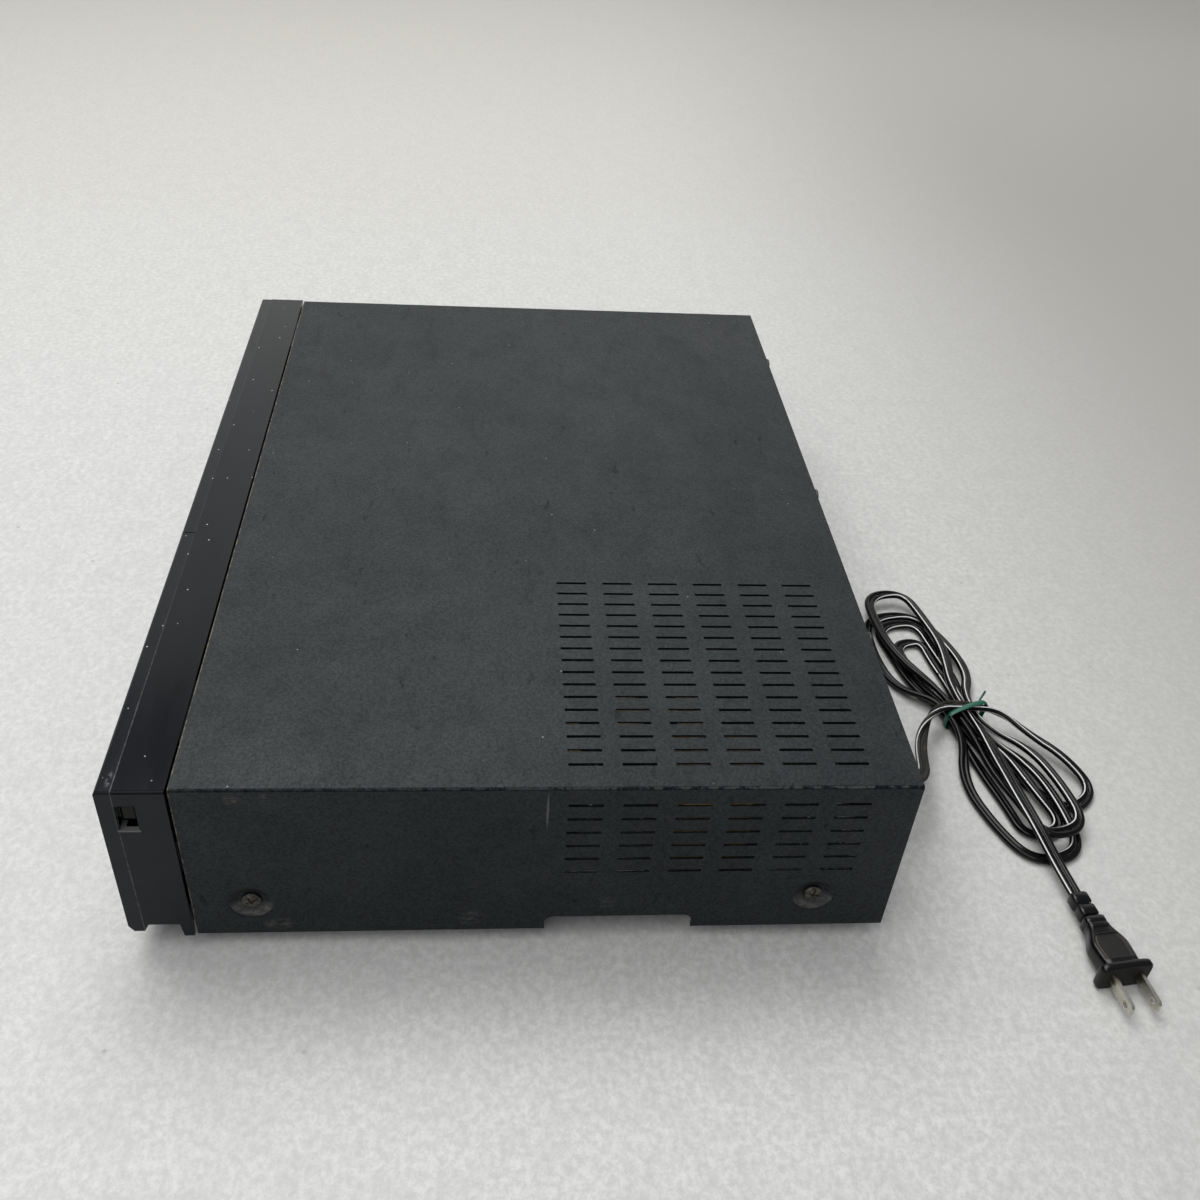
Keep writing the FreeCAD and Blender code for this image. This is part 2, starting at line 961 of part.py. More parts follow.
# Circuit boards: the main board under the deck and the power board at the right rear
def make_main_board():
    board = box(
        main_board_left,
        main_board_right,
        behind(main_board_front),
        behind(main_board_rear),
        board_under,
        board_top,
    )
    holes = [
        rod(deck_post + 2 * easy_gap, (x, behind(y), board_under - 1), board_thickness + 2)
        for x, y in deck_corners()
    ]
    return board.cut(Part.makeCompound(holes))


def make_power_board():
    return box(
        power_board_left,
        power_board_right,
        behind(power_board_front),
        behind(power_board_rear),
        board_under,
        board_top,
    )


def make_board_parts():
    chips = []
    for row in range(2):
        for column in range(3):
            x = chip_left + column * chip_column_pitch
            y = behind(chip_front + row * chip_row_pitch)
            chips.append(box(x, x + chip_length, y, y + chip_width, board_top, board_top + chip_height))
    y = behind(deck_rear + small_can_clear_of_deck)
    cans = [rod(small_can_radius, (x, y, board_top), small_can_height) for x in small_can_offsets]
    return chips + cans


def make_power_capacitors():
    cans = []
    for depth in mains_can_depths:
        cans.append(rod(mains_can_radius, (mains_can_offset, behind(depth), board_top), mains_can_height))
    for x in filter_can_offsets:
        at = (x, behind(filter_can_depth), board_top)
        cans.append(rod(filter_can_radius, at, filter_can_height))
    return cans


# Heat sink: a plate with fins
def make_heat_sink():
    face, top = sink_offset + sink_plate, board_top + sink_height
    start = behind(sink_depth)
    plate_of_sink = box(sink_offset, face, start, start + sink_length, board_top, top)
    pitch = (sink_length - 2 * sink_fin) / (sink_fins - 1)
    fins = []
    for i in range(sink_fins):
        y = start + sink_fin / 2 + i * pitch
        low = board_top + sink_fin_lift
        fins.append(box(face - sink_plate / 2, face + sink_fin_reach, y, y + sink_fin, low, top))
    return joined(plate_of_sink, *fins)


# Mains transformer: a laminated frame with two windows, and the coil wound on its middle limb
def make_transformer_core():
    x0, x1 = transformer_offset - core_width / 2, transformer_offset + core_width / 2
    y0 = behind(transformer_depth) - core_length / 2
    y1 = y0 + core_length
    z0 = board_top + transformer_lift
    z1 = z0 + core_height
    core = box(x0, x1, y0, y1, z0, z1)
    limb = (core_length - 2 * core_window) / 4
    windows = []
    for start in (y0 + limb, y1 - limb - core_window):
        windows.append(box(x0 - 1, x1 + 1, start, start + core_window, z0 + limb, z1 - limb))
    feet = [
        box(x0 + 2, x1 - 2, y, y + 4, board_top, z0 + 0.5) for y in (y0 + 3, y1 - 7)
    ]
    return joined(core.cut(Part.makeCompound(windows)), *feet)


def make_transformer_coil():
    x0 = transformer_offset - core_width / 2 - coil_bulge
    x1 = transformer_offset + core_width / 2 + coil_bulge
    y0 = behind(transformer_depth) - core_length / 2
    limb = (core_length - 2 * core_window) / 4
    z0 = board_top + transformer_lift + limb + easy_gap
    z1 = board_top + transformer_lift + core_height - limb - easy_gap
    start = y0 + limb + easy_gap
    end = y0 + core_length - limb - easy_gap
    coil = box(x0, x1, start, end, z0, z1)
    coil = coil.makeFillet(4.0, long_edges(coil, UP, lambda x, y, z: True))
    hole = box(
        transformer_offset - core_width / 2 - easy_gap,
        transformer_offset + core_width / 2 + easy_gap,
        y0 + limb + core_window - easy_gap,
        y0 + core_length - limb - core_window + easy_gap,
        z0 - 1,
        z1 + 1,
    )
    return coil.cut(hole)


# Tuner can with its two aerial sockets, and the block of six phono sockets beside it
def make_tuner_can():
    rear = behind(panel_depth - rear_panel_sheet) - 1.3
    can = box(can_left, can_left + can_width, rear - can_depth, rear, board_top, board_top + can_height)
    return can.makeFillet(1.0, long_edges(can, UP, lambda x, y, z: True))


def make_rf_connectors():
    start = behind(panel_depth - rear_panel_sheet) - 1.3
    end = behind(panel_depth) + connector_reach
    face = behind(panel_depth)
    sockets = []
    for z in connector_levels:
        neck = rod(connector_diameter / 2 - 0.6, (connector_offset, start, z), face + 1 - start, REAR)
        at = (connector_offset, face + easy_gap, z)
        collar = rod(connector_diameter / 2 + 1, at, collar_height, REAR)
        barrel = rod(connector_diameter / 2, (connector_offset, face + 1, z), end - face - 1, REAR)
        bore = rod(1.2, (connector_offset, end - 6, z), 7, REAR)
        sockets.append(joined(neck, collar, barrel).cut(bore))
    return sockets


def make_av_jack_block():
    rear = behind(panel_depth - rear_panel_sheet) - 1.3
    return box(
        jack_offsets[0] - 8,
        jack_offsets[1] + 8,
        rear - jack_block_depth,
        rear,
        board_top,
        jack_levels[2] + 8,
    )


def make_av_jacks():
    start = behind(panel_depth - rear_panel_sheet) - 1.3
    end = behind(panel_depth) + jack_reach
    face = behind(panel_depth)
    sockets = []
    for x in jack_offsets:
        for z in jack_levels:
            neck = rod(jack_diameter / 2 - 0.6, (x, start - 0.5, z), face + 1.5 - start, REAR)
            collar = rod(jack_diameter / 2 + 1.3, (x, face + easy_gap, z), collar_height, REAR)
            barrel = rod(jack_diameter / 2, (x, face + 1, z), end - face - 1, REAR)
            bore = rod(jack_bore / 2, (x, end - 7, z), 8, REAR)
            sockets.append(joined(neck, collar, barrel).cut(bore))
    return sockets


# Cord gland: a tapered bush in the rear panel
def gland_end():
    return Vector(gland_offset, behind(panel_depth) + gland_length, gland_level)


def make_cord_gland():
    inner = behind(panel_depth - rear_panel_sheet)
    outer = behind(panel_depth)
    at = (gland_offset, inner - 2, gland_level)
    flange = rod(gland_flange, at, 2, REAR)
    neck = rod(gland_root, at, 2 + rear_panel_sheet + 1, REAR)
    taper = Part.makeCone(
        gland_root + 0.8,
        gland_tip,
        gland_length,
        Vector(gland_offset, outer, gland_level),
        REAR,
    )
    ribs = []
    for i in range(1, 4):
        y = outer + i * gland_length / 4
        ribs.append(
            box(gland_offset - 8, gland_offset + 8, y, y + 1.6, gland_level + 2.6, gland_level + 9)
        )
        ribs.append(
            box(gland_offset - 8, gland_offset + 8, y + 2.6, y + 4.2, gland_level - 9, gland_level - 2.6)
        )
    return joined(flange, neck, taper).cut(Part.makeCompound(ribs))


# Deck plate: the steel plate of the tape mechanism, with its posts, bearings and guide slots
def slot_between(start, end, width, z0, z1):
    """A slot cutter with square ends half a width past two x, y points."""
    along = Vector(end[0] - start[0], end[1] - start[1], 0).normalize() * (width / 2)
    across = Vector(-along.y, along.x, 0)
    a, b = Vector(start[0], start[1], 0) - along, Vector(end[0], end[1], 0) + along
    corners = [a + across, a - across, b - across, b + across]
    return plate([(p.x, p.y) for p in corners], z0, z1)


def reel_places():
    return [(deck_offset + side * reel_spacing / 2, behind(reel_depth)) for side in (-1, 1)]


def guide_places(side):
    start = (deck_offset + side * guide_offset_start, behind(guide_depth_start))
    end = (deck_offset + side * guide_offset_end, behind(guide_depth_start + guide_travel))
    return start, end


def cam_place():
    return deck_offset + cam_offset, behind(cam_depth)


def pinion_place():
    x, y = cam_place()
    return x, y + gear_module * (pinion_teeth + cam_teeth) / 2 + gear_backlash / 2


def make_deck_plate():
    front, rear = behind(deck_front), behind(deck_rear)
    deck = box(deck_left, deck_right, front, rear, deck_under, deck_top)
    solids = []
    for edge in (deck_left, deck_right - deck_sheet):
        solids.append(
            box(edge, edge + deck_sheet, front + 20, rear - 20, deck_under - deck_lip, deck_under + 0.5)
        )
    base = deck_top - 0.5
    for x, y in reel_places():
        solids.append(rod(reel_post, (x, y, base), 0.5 + spindle_height - 4))
    for side in (-1, 1):
        for depth in datum_depths:
            at = (deck_offset + side * datum_offset, behind(depth), base)
            solids.append(rod(datum_post, at, 0.5 + datum_height))
    pivot = (deck_offset + pinch_pivot_offset, behind(pinch_pivot_depth), base)
    solids.append(rod(2.0, pivot, 0.5 + pinch_level + 16))
    capstan = (deck_offset + capstan_offset, behind(capstan_depth), base)
    solids.append(rod(capstan_boss, capstan, 0.5 + capstan_boss_height))
    x, y = cam_place()
    solids.append(rod(cam_post, (x, y, base), 0.5 + gear_thickness + 3))
    x, y = pinion_place()
    bridge = deck_top + gear_thickness + bridge_clear_of_gear
    near, far = y - bridge_front, y + bridge_rear
    for side in (-1, 1):
        legs = sorted((x + side * bridge_half, x + side * (bridge_half - bridge_wall)))
        solids.append(box(legs[0], legs[1], near, far, base, bridge + bridge_sheet / 2))
    solids.append(box(x - bridge_half, x + bridge_half, near, far, bridge, bridge + bridge_sheet))
    deck = joined(deck, *solids)
    cuts = [
        rod(clutch_shaft + running_fit, (deck_offset, behind(clutch_depth), deck_under - 1), 4),
        rod(capstan_shaft + running_fit, (capstan[0], capstan[1], deck_under - 1), capstan_boss_height + 5),
        rod(1.0 + easy_gap, (x, y, bridge - 1), 4),
    ]
    for side in (-1, 1):
        start, end = guide_places(side)
        cuts.append(slot_between(start, end, guide_slot, deck_under - 1, deck_top + 1))
    return deck.cut(Part.makeCompound(cuts))


# Reel tables: a rubbed rim and a hollow spindle that turns on the deck's post
def make_reel_table(x, y):
    z0 = deck_top + 0.8
    rim = z0 + reel_rim
    top = deck_top + spindle_height
    bore = reel_post + running_fit
    profile = [
        (bore, z0),
        (reel_radius, z0),
        (reel_radius, rim),
        (spindle_radius + 3, rim),
        (spindle_radius, rim + 2),
        (spindle_radius, top - 1.5),
        (spindle_radius - 1.5, top),
        (0, top),
        (0, top - 3),
        (bore, top - 3),
    ]
    return lathe(profile, x, y)


# Reel drive: belt, clutch pulley under the deck with its hub above, and the swinging idler
def make_clutch_pulley():
    x, y = deck_offset, behind(clutch_depth)
    low = deck_under - belt_level - 1.2
    high = deck_under - belt_level + 3.4
    hub = deck_top + 1.5
    profile = [
        (0, low),
        (clutch_pulley_radius + 1.5, low),
        (clutch_pulley_radius + 1.5, low + 1.0),
        (clutch_pulley_radius, low + 1.0),
        (clutch_pulley_radius, high - 1.0),
        (clutch_pulley_radius + 1.5, high - 1.0),
        (clutch_pulley_radius + 1.5, high),
        (clutch_shaft, high),
        (clutch_shaft, hub),
        (clutch_hub_radius, hub),
        (clutch_hub_radius, hub + 3.5),
        (clutch_shaft, hub + 3.5),
        (clutch_shaft, hub + 7.0),
        (0, hub + 7.0),
    ]
    return lathe(profile, x, y)


def make_reel_drive_belt():
    cx, cy = deck_offset, behind(clutch_depth)
    px, py = deck_offset + capstan_offset, behind(capstan_depth)
    mid = deck_under - belt_level + 1.1
    low, high = mid - 0.75, mid + 0.75

    def loop(extra):
        a, b = clutch_pulley_radius + extra, capstan_pulley_radius + extra
        span = math.hypot(px - cx, py - cy)
        heading = math.atan2(py - cy, px - cx)
        tilt = math.acos((a - b) / span)
        points = []
        for angle, x, y, r in (
            (heading + tilt, cx, cy, a),
            (heading + math.pi, cx, cy, a),
            (heading - tilt, cx, cy, a),
            (heading - tilt, px, py, b),
            (heading, px, py, b),
            (heading + tilt, px, py, b),
        ):
            points.append(Vector(x + r * math.cos(angle), y + r * math.sin(angle), low))
        edges = [
            Part.Arc(points[0], points[1], points[2]).toShape(),
            Part.LineSegment(points[2], points[3]).toShape(),
            Part.Arc(points[3], points[4], points[5]).toShape(),
            Part.LineSegment(points[5], points[0]).toShape(),
        ]
        return Part.Face(Part.Wire(edges)).extrude(Vector(0, 0, high - low))

    return loop(easy_gap + belt_thickness).cut(loop(easy_gap))


def make_idler_arm():
    x, y = deck_offset, behind(clutch_depth)
    z0 = deck_top + 1.5 + 3.5 + 0.6
    hub = rod(clutch_shaft + 2.5, (x, y, z0), arm_sheet + 0.8)
    bar = box(x - 3, x + 3, y, y + idler_arm_length, z0, z0 + arm_sheet)
    end = rod(3.0, (x, y + idler_arm_length, z0), arm_sheet)
    pin = rod(1.5, (x, y + idler_arm_length, deck_top + 1.0), z0 - deck_top - 0.5)
    bore = rod(clutch_shaft + running_fit, (x, y, z0 - 1), 5)
    return joined(hub, bar, end, pin).cut(bore)


def make_idler_wheel():
    x, y = deck_offset, behind(clutch_depth) + idler_arm_length
    z0 = deck_top + 1.5
    bore, z1 = 1.5 + running_fit, z0 + 3.5
    return lathe([(bore, z0), (idler_radius, z0), (idler_radius, z1), (bore, z1)], x, y)


# Head drum: a fixed lower drum and a turning upper drum, leaning together
def drum_axis():
    lean = math.radians(drum_tilt)
    return Vector(math.sin(lean), 0, math.cos(lean))


def lean_over(shape):
    foot = Vector(deck_offset, behind(drum_depth), deck_top)
    shape.rotate(foot, REAR, drum_tilt)
    return shape


def make_drum_base():
    x, y = deck_offset, behind(drum_depth)
    root, rim = deck_top - 6, deck_top + lower_drum_height
    lower = lean_over(lathe([(0, root), (drum_radius, root), (drum_radius, rim), (0, rim)], x, y))
    shaft = lean_over(rod(drum_shaft, (x, y, deck_top + lower_drum_height - 1), 9.0))
    foot = rod(drum_foot, (x, y, deck_top), drum_foot_height)
    below = box(x - 60, x + 60, y - 60, y + 60, deck_top - 30, deck_top)
    return joined(lower, foot, shaft).cut(below)


def make_head_drum():
    x, y = deck_offset, behind(drum_depth)
    z0 = deck_top + lower_drum_height + drum_gap
    z1 = z0 + upper_drum_height
    bore = drum_shaft + running_fit
    profile = [
        (bore, z0),
        (drum_radius, z0),
        (drum_radius, z1),
        (drum_radius - 6, z1),
        (drum_radius - 6, z1 - drum_recess),
        (drum_hub, z1 - drum_recess),
        (drum_hub, z1 + 1),
        (0, z1 + 1),
        (0, z0 + 8.5),
        (bore, z0 + 8.5),
    ]
    return lean_over(lathe(profile, x, y))


# Capstan: shaft, belt pulley and flat rotor, turning in the deck's boss
def make_capstan():
    x, y = deck_offset + capstan_offset, behind(capstan_depth)
    low = deck_under - belt_level - 1.2
    high = deck_under - belt_level + 3.4
    profile = [
        (0, low - rotor_thickness),
        (rotor_radius, low - rotor_thickness),
        (rotor_radius, low - 0.4),
        (capstan_pulley_radius + 1.5, low - 0.4),
        (capstan_pulley_radius + 1.5, low + 0.8),
        (capstan_pulley_radius, low + 1.2),
        (capstan_pulley_radius, high - 1.2),
        (capstan_pulley_radius + 1.5, high - 0.8),
        (capstan_pulley_radius + 1.5, high),
        (capstan_shaft, high),
        (capstan_shaft, deck_top + capstan_height),
        (0, deck_top + capstan_height),
    ]
    return lathe(profile, x, y)


def make_pinch_arm():
    x, y = deck_offset + pinch_pivot_offset, behind(pinch_pivot_depth)
    z0 = deck_top + pinch_level
    hub = rod(4.5, (x, y, z0 - 3), 9)
    bar = box(x - 3, x + 3, y - pinch_arm_length, y, z0, z0 + 2)
    end = rod(3.0, (x, y - pinch_arm_length, z0), 2)
    pin = rod(1.5, (x, y - pinch_arm_length, z0), 2 + pinch_roller_height + 1.5)
    bore = rod(2.0 + running_fit, (x, y, z0 - 4), 12)
    return joined(hub, bar, end, pin).cut(bore)


def make_pinch_roller():
    x, y = deck_offset + pinch_pivot_offset, behind(pinch_pivot_depth) - pinch_arm_length
    z0 = deck_top + pinch_level + 2.4
    z1 = z0 + pinch_roller_height - 0.8
    r, bore = pinch_roller_radius, 1.5 + running_fit
    profile = [(bore, z0), (r - 1, z0), (r, z0 + 0.6), (r, z1 - 0.6), (r - 1, z1), (bore, z1)]
    return lathe(profile, x, y)


# Tape guides: flanged rollers whose feet slide in the deck's slots, and the fixed sound head
def make_guide_post(side):
    (x, y), _ = guide_places(side)
    top = deck_top + guide_height
    profile = [
        (0, deck_under - guide_foot),
        (guide_slot / 2 + guide_flange, deck_under - guide_foot),
        (guide_slot / 2 + guide_flange, deck_under - easy_gap),
        (guide_pin, deck_under - easy_gap),
        (guide_pin, deck_top + easy_gap),
        (guide_base, deck_top + easy_gap),
        (guide_base, deck_top + 3),
        (guide_roller, deck_top + 3),
        (guide_roller, top - 2),
        (guide_base - 0.5, top - 2),
        (guide_base - 0.5, top),
        (0, top),
    ]
    return lathe(profile, x, y)


def make_audio_control_head():
    x, y = deck_offset + head_offset, behind(head_depth)
    foot = box(x - 7, x + 7, y - 5, y + 9, deck_top, deck_top + 2)
    stack = box(x - 5, x + 5, y - 4, y + 4, deck_top + 1, deck_top + 27)
    stack = stack.makeFillet(1.5, long_edges(stack, UP, lambda px, py, pz: py < y))
    return joined(foot, stack)


# Loading train: a small motor on its bridge, its pinion and the cam gear
def gear(teeth, x, y, z0, z1, turn):
    """A straight-flanked spur gear, its teeth thinned by the backlash."""
    pitch = gear_module * teeth / 2
    root, tip = pitch - 1.15 * gear_module, pitch + 0.8 * gear_module
    half = (math.pi * gear_module / 2 - gear_backlash) / 2
    flank = math.tan(math.radians(20))
    points = []
    for i in range(teeth):
        middle = turn + 2 * math.pi * i / teeth
        for radius, sign in ((root, -1), (tip, -1), (tip, 1), (root, 1)):
            width = half + (pitch - radius) * flank
            angle = middle + sign * width / radius
            points.append((x + radius * math.cos(angle), y + radius * math.sin(angle)))
    return plate(points, z0, z1)


def make_loading_pinion():
    x, y = pinion_place()
    z0 = deck_top + 1.0
    turn = math.pi / 2 + math.pi / pinion_teeth
    teeth = gear(pinion_teeth, x, y, z0, z0 + gear_thickness, turn)
    shaft = rod(1.0, (x, y, z0 + gear_thickness - 0.5), 3.0)
    return joined(teeth, shaft)


def make_cam_gear():
    x, y = cam_place()
    z0 = deck_top + 1.0
    teeth = gear(cam_teeth, x, y, z0, z0 + gear_thickness, math.pi / 2)
    track = lathe([(12.0, z0 + 2.5), (14.5, z0 + 2.5), (14.5, z0 + 5), (12.0, z0 + 5)], x + 2.5, y)
    bore = rod(cam_post + running_fit, (x, y, z0 - 1), gear_thickness + 2)
    return teeth.cut(track).cut(bore)


def make_loading_motor():
    x, y = pinion_place()
    z0 = deck_top + gear_thickness + bridge_clear_of_gear + bridge_sheet
    can = rod(motor_radius, (x, y, z0), motor_height)
    rim = [e for e in can.Edges if e.CenterOfMass.z > z0 + motor_height - 0.5]
    can = can.makeChamfer(motor_bevel, rim)
    return joined(can, rod(4.0, (x, y, z0 + motor_height - 0.5), 2.0))


# Cassette carriage: side brackets with L-shaped slots, the holder that rides in them and the slider
def bracket_faces():
    inner = cassette_width / 2 + 0.5 + holder_sheet + bracket_gap
    return inner, inner + bracket_sheet


def pin_places():
    front = (holder_front + front_pin_depth, raised_floor + front_pin_level)
    rear = (holder_front + rear_pin_depth, raised_floor + rear_pin_level)
    return front, rear


def make_carriage_frame():
    inner, outer = bracket_faces()
    y0, y1 = behind(bracket_front), behind(bracket_rear)
    solids = []
    for side in (-1, 1):
        edges = sorted((deck_offset + side * inner, deck_offset + side * outer))
        solids.append(box(edges[0], edges[1], y0, y1, deck_top, bracket_top))
        edges = sorted((deck_offset + side * (inner - bracket_foot), deck_offset + side * outer))
        solids.append(box(edges[0], edges[1], y0, y1 - 40, deck_top, deck_top + bracket_sheet))
    solids.append(
        box(deck_offset - outer, deck_offset + outer, y1 - 8, y1, bracket_top - bracket_sheet, bracket_top)
    )
    stud_start = deck_offset + outer - 0.5
    stud_head = deck_offset + outer + 0.5 + slider_sheet + easy_gap
    for z in slider_stud_levels:
        at = (stud_start, behind(slider_stud_depth), z)
        solids.append(rod(slider_stud, at, stud_head + 1.2 - stud_start, RIGHT))
        solids.append(rod(slider_stud + 1.4, (stud_head, at[1], z), 1.2, RIGHT))
    frame = joined(*solids)
    cuts = []
    half = carriage_pin + easy_gap
    for depth, z in pin_places():
        y = behind(depth)
        x0, x1 = deck_offset - outer - 1, deck_offset + outer + 1
        left = (x0, x0 + 1 + bracket_sheet + 1)
        right = (x1 - 2 - bracket_sheet, x1 - 0.5)
        for a, b in (left, right):
            cuts.append(box(a, b, y - load_travel - half, y + half, z - half, z + half))
            cuts.append(box(a, b, y - half, y + half, z - lower_travel - half, z + half))
    return frame.cut(Part.makeCompound(cuts))


def make_cassette_holder():
    half = cassette_width / 2 + 0.5
    outer = half + holder_sheet
    y0, y1 = behind(holder_front), behind(holder_front + holder_depth)
    ceiling = raised_floor + cassette_height + holder_top_gap
    solids = [box(deck_offset - outer, deck_offset + outer, y0, y1, ceiling, ceiling + holder_sheet)]
    bracket_inner, bracket_outer = bracket_faces()
    for side in (-1, 1):
        wall = sorted((deck_offset + side * half, deck_offset + side * outer))
        ledge = sorted((deck_offset + side * (half - holder_ledge), deck_offset + side * outer))
        solids.append(
            box(wall[0], wall[1], y0, y1, raised_floor - holder_sheet, ceiling + holder_sheet / 2)
        )
        solids.append(box(ledge[0], ledge[1], y0, y1, raised_floor - holder_sheet, raised_floor))
        for i, (depth, z) in enumerate(pin_places()):
            reach = bracket_outer + 0.1
            if i == 0 and side == 1:
                reach = bracket_outer + 0.5 + slider_sheet + 1
            start = deck_offset + side * (half + holder_sheet / 2)
            length = reach - half - holder_sheet / 2
            solids.append(rod(carriage_pin, (start, behind(depth), z), length, RIGHT * side))
    holder = joined(*solids)
    window = box(
        deck_offset - 55,
        deck_offset + 55,
        y0 + 22,
        y1 - 18,
        ceiling - 1,
        ceiling + holder_sheet + 1,
    )
    return holder.cut(window)


def make_carriage_slider():
    inner, outer = bracket_faces()
    x0 = deck_offset + outer + 0.5
    x1 = x0 + slider_sheet
    body = box(x0, x1, behind(slider_front), behind(slider_rear), slider_low, slider_high)
    (depth, z), _ = pin_places()
    half = carriage_pin + easy_gap
    y = behind(depth)
    cuts = [box(x0 - 1, x1 + 1, y - half, y + half, z - lower_travel - half, z + half)]
    stud = slider_stud + easy_gap
    for level in slider_stud_levels:
        start = behind(slider_stud_depth)
        end = start + load_travel + stud
        cuts.append(box(x0 - 1, x1 + 1, start - stud, end, level - stud, level + stud))
    return body.cut(Part.makeCompound(cuts))


# Cord route: out of the gland, over the tied waist, four loops and back over the waist to the plug
def cord_section(at, heading):
    """The eight-sided section of the cord, square to its heading."""
    radius = cord_tube / 2 / math.cos(math.pi / 8)
    side = heading.cross(UP).normalize()
    rise = side.cross(heading).normalize()
    corners = []
    for i in range(8):
        angle = math.pi / 8 + i * math.pi / 4
        corners.append(at + side * (radius * math.cos(angle)) + rise * (radius * math.sin(angle)))
    return Part.makePolygon(corners + corners[:1])


section_area = 2 * (math.sqrt(2) - 1) * cord_tube**2


def swept(path, at, heading):
    return path.makePipeShell([cord_section(at, heading)], True, False)


def free_cord(name, route):
    """A cord of straight runs joined by tangent arcs, each as large as its two runs allow."""
    points = [Vector(*p) for p in route]
    edges, length, last, radii = [], 0.0, points[0], []
    for before, corner, after in zip(points, points[1:], points[2:]):
        back, on = before - corner, after - corner
        turn = math.pi - back.getAngle(on)
        trim = 0.45 * min(back.Length, on.Length)
        radii.append(trim / math.tan(turn / 2))
        start, end = corner + back.normalize() * trim, corner + on.normalize() * trim
        bisector = (back + on).normalize()
        middle = corner + bisector * (radii[-1] / math.cos(turn / 2) - radii[-1])
        edges.append(Part.LineSegment(last, start).toShape())
        edges.append(Part.Arc(start, middle, end).toShape())
        last = end
    edges.append(Part.LineSegment(last, points[-1]).toShape())
    path = Part.Wire(edges)
    tube = swept(path, points[0], (points[1] - points[0]).normalize())
    error = tube.Volume / (section_area * path.Length) - 1
    print(f"{name}: length {path.Length:.1f}, radii {min(radii):.0f} to {max(radii):.0f}")
    print(f"{name}: volume {error:+.2%} from section times length")
    return tube


# Hank: the waist is on the floor behind the case; near loops reach to the right, far loops to the left
waist = (81.0, 80.0)
waist_heading = 12.0
waist_pitch = 4.8
layer_pitch = 4.7
waist_lift = 1.0
# Each turn's loop has its heading from +X and its length, then three places round it:
# on the outgoing side its share of the length, its distance across and its height,
# at the end its height, and on the homeward side the same three as on the outgoing side.
near_loops = (
    (39.0, 73.0, (0.56, 15.0, 7.5), 2.0, (0.50, 13.0, 2.0)),
    (13.0, 80.0, (0.55, 7.7, 6.7), 2.2, (0.60, 8.8, 2.0)),
    (12.0, 95.0, (0.58, 16.3, 6.8), 2.0, (0.56, 21.0, 2.0)),
    (16.5, 86.0, (0.55, 16.5, 11.0), 8.8, (0.62, 9.0, 7.4)),
)
far_loops = (
    (191.0, 67.0, (0.66, 8.5, 2.0), 2.0, (0.60, 7.0, 2.0)),
    (190.5, 84.0, (0.52, 13.7, 2.0), 2.0, (0.53, 12.3, 2.0)),
    (191.0, 92.0, (0.50, 27.0, 2.0), 2.0, (0.50, 21.0, 5.0)),
    (189.5, 106.0, (0.68, 16.0, 7.0), 7.5, (0.66, 14.0, 7.5)),
)
# The columns across the waist and the layers in which the strands pass it, outward and homeward
out_columns = ((1.5, 2), (0.5, 0), (1.5, 0), (1.4, 1))
home_columns = ((-0.5, 0), (-1.5, 0), (-1.65, 1), (-0.6, 1))
tail_column = (0.4, 1)
lead_heading = 79.0
lead_slant = 5.4


def unit(degrees):
    return Vector(math.cos(math.radians(degrees)), math.sin(math.radians(degrees)), 0)


def waist_point(column, layer):
    across = unit(waist_heading + 90) * (column * waist_pitch)
    height = cord_tube / 2 + waist_lift + layer * layer_pitch
    return Vector(waist[0], floor_y + waist[1], height) + across


def loop_stations(loop):
    """Three places round a loop with their headings: its first side, its end and its second side."""
    heading, length, first, end_height, second = loop
    out = unit(heading)
    across = unit(heading + 90)
    centre = Vector(waist[0], floor_y + waist[1], 0)
    return [
        (centre + out * (first[0] * length) + across * first[1] + UP * first[2], out),
        (centre + out * length + UP * end_height, across * -1),
        (centre + out * (second[0] * length) - across * second[1] + UP * second[2], out * -1),
    ]


def hank_stations():
    """The places and headings that the hank's cord passes, from the lead's end to the tail's start."""
    along = unit(waist_heading)
    stations = []
    for near, far, out, home in zip(near_loops, far_loops, out_columns, home_columns):
        heading = along if stations else unit(lead_heading)
        stations.append((waist_point(*out), heading))
        stations += loop_stations(near)
        stations.append((waist_point(*home), along * -1))
        stations += loop_stations(far)
    stations.append((waist_point(*tail_column), along))
    return stations


def biarc(p0, t0, p1, t1):
    """Two arcs that leave p0 along t0 and reach p1 along t1."""
    span = p1 - p0
    a = 2 * (t0.dot(t1) - 1)
    b = -2 * span.dot(t0 + t1)
    c = span.dot(span)
    if abs(a) < 1e-9:
        d = c / -b
    else:
        d = (-b - math.sqrt(b * b - 4 * a * c)) / (2 * a)
    q0, q1 = p0 + t0 * d, p1 - t1 * d
    join = (q0 + q1) * 0.5
    middle_heading = (q1 - q0).normalize()
    return [arc_or_line(p0, t0, join, middle_heading), arc_or_line(join, middle_heading, p1, t1)]


def arc_or_line(p0, t0, p1, t1):
    if t0.cross(t1).Length < 1e-5:
        return Part.LineSegment(p0, p1).toShape()
    chord = p1 - p0
    bow = (t0 - t1).normalize()
    turn = t0.getAngle(t1)
    sag = chord.Length / 2 * math.tan(turn / 4)
    return Part.Arc(p0, (p0 + p1) * 0.5 + bow * sag, p1).toShape()


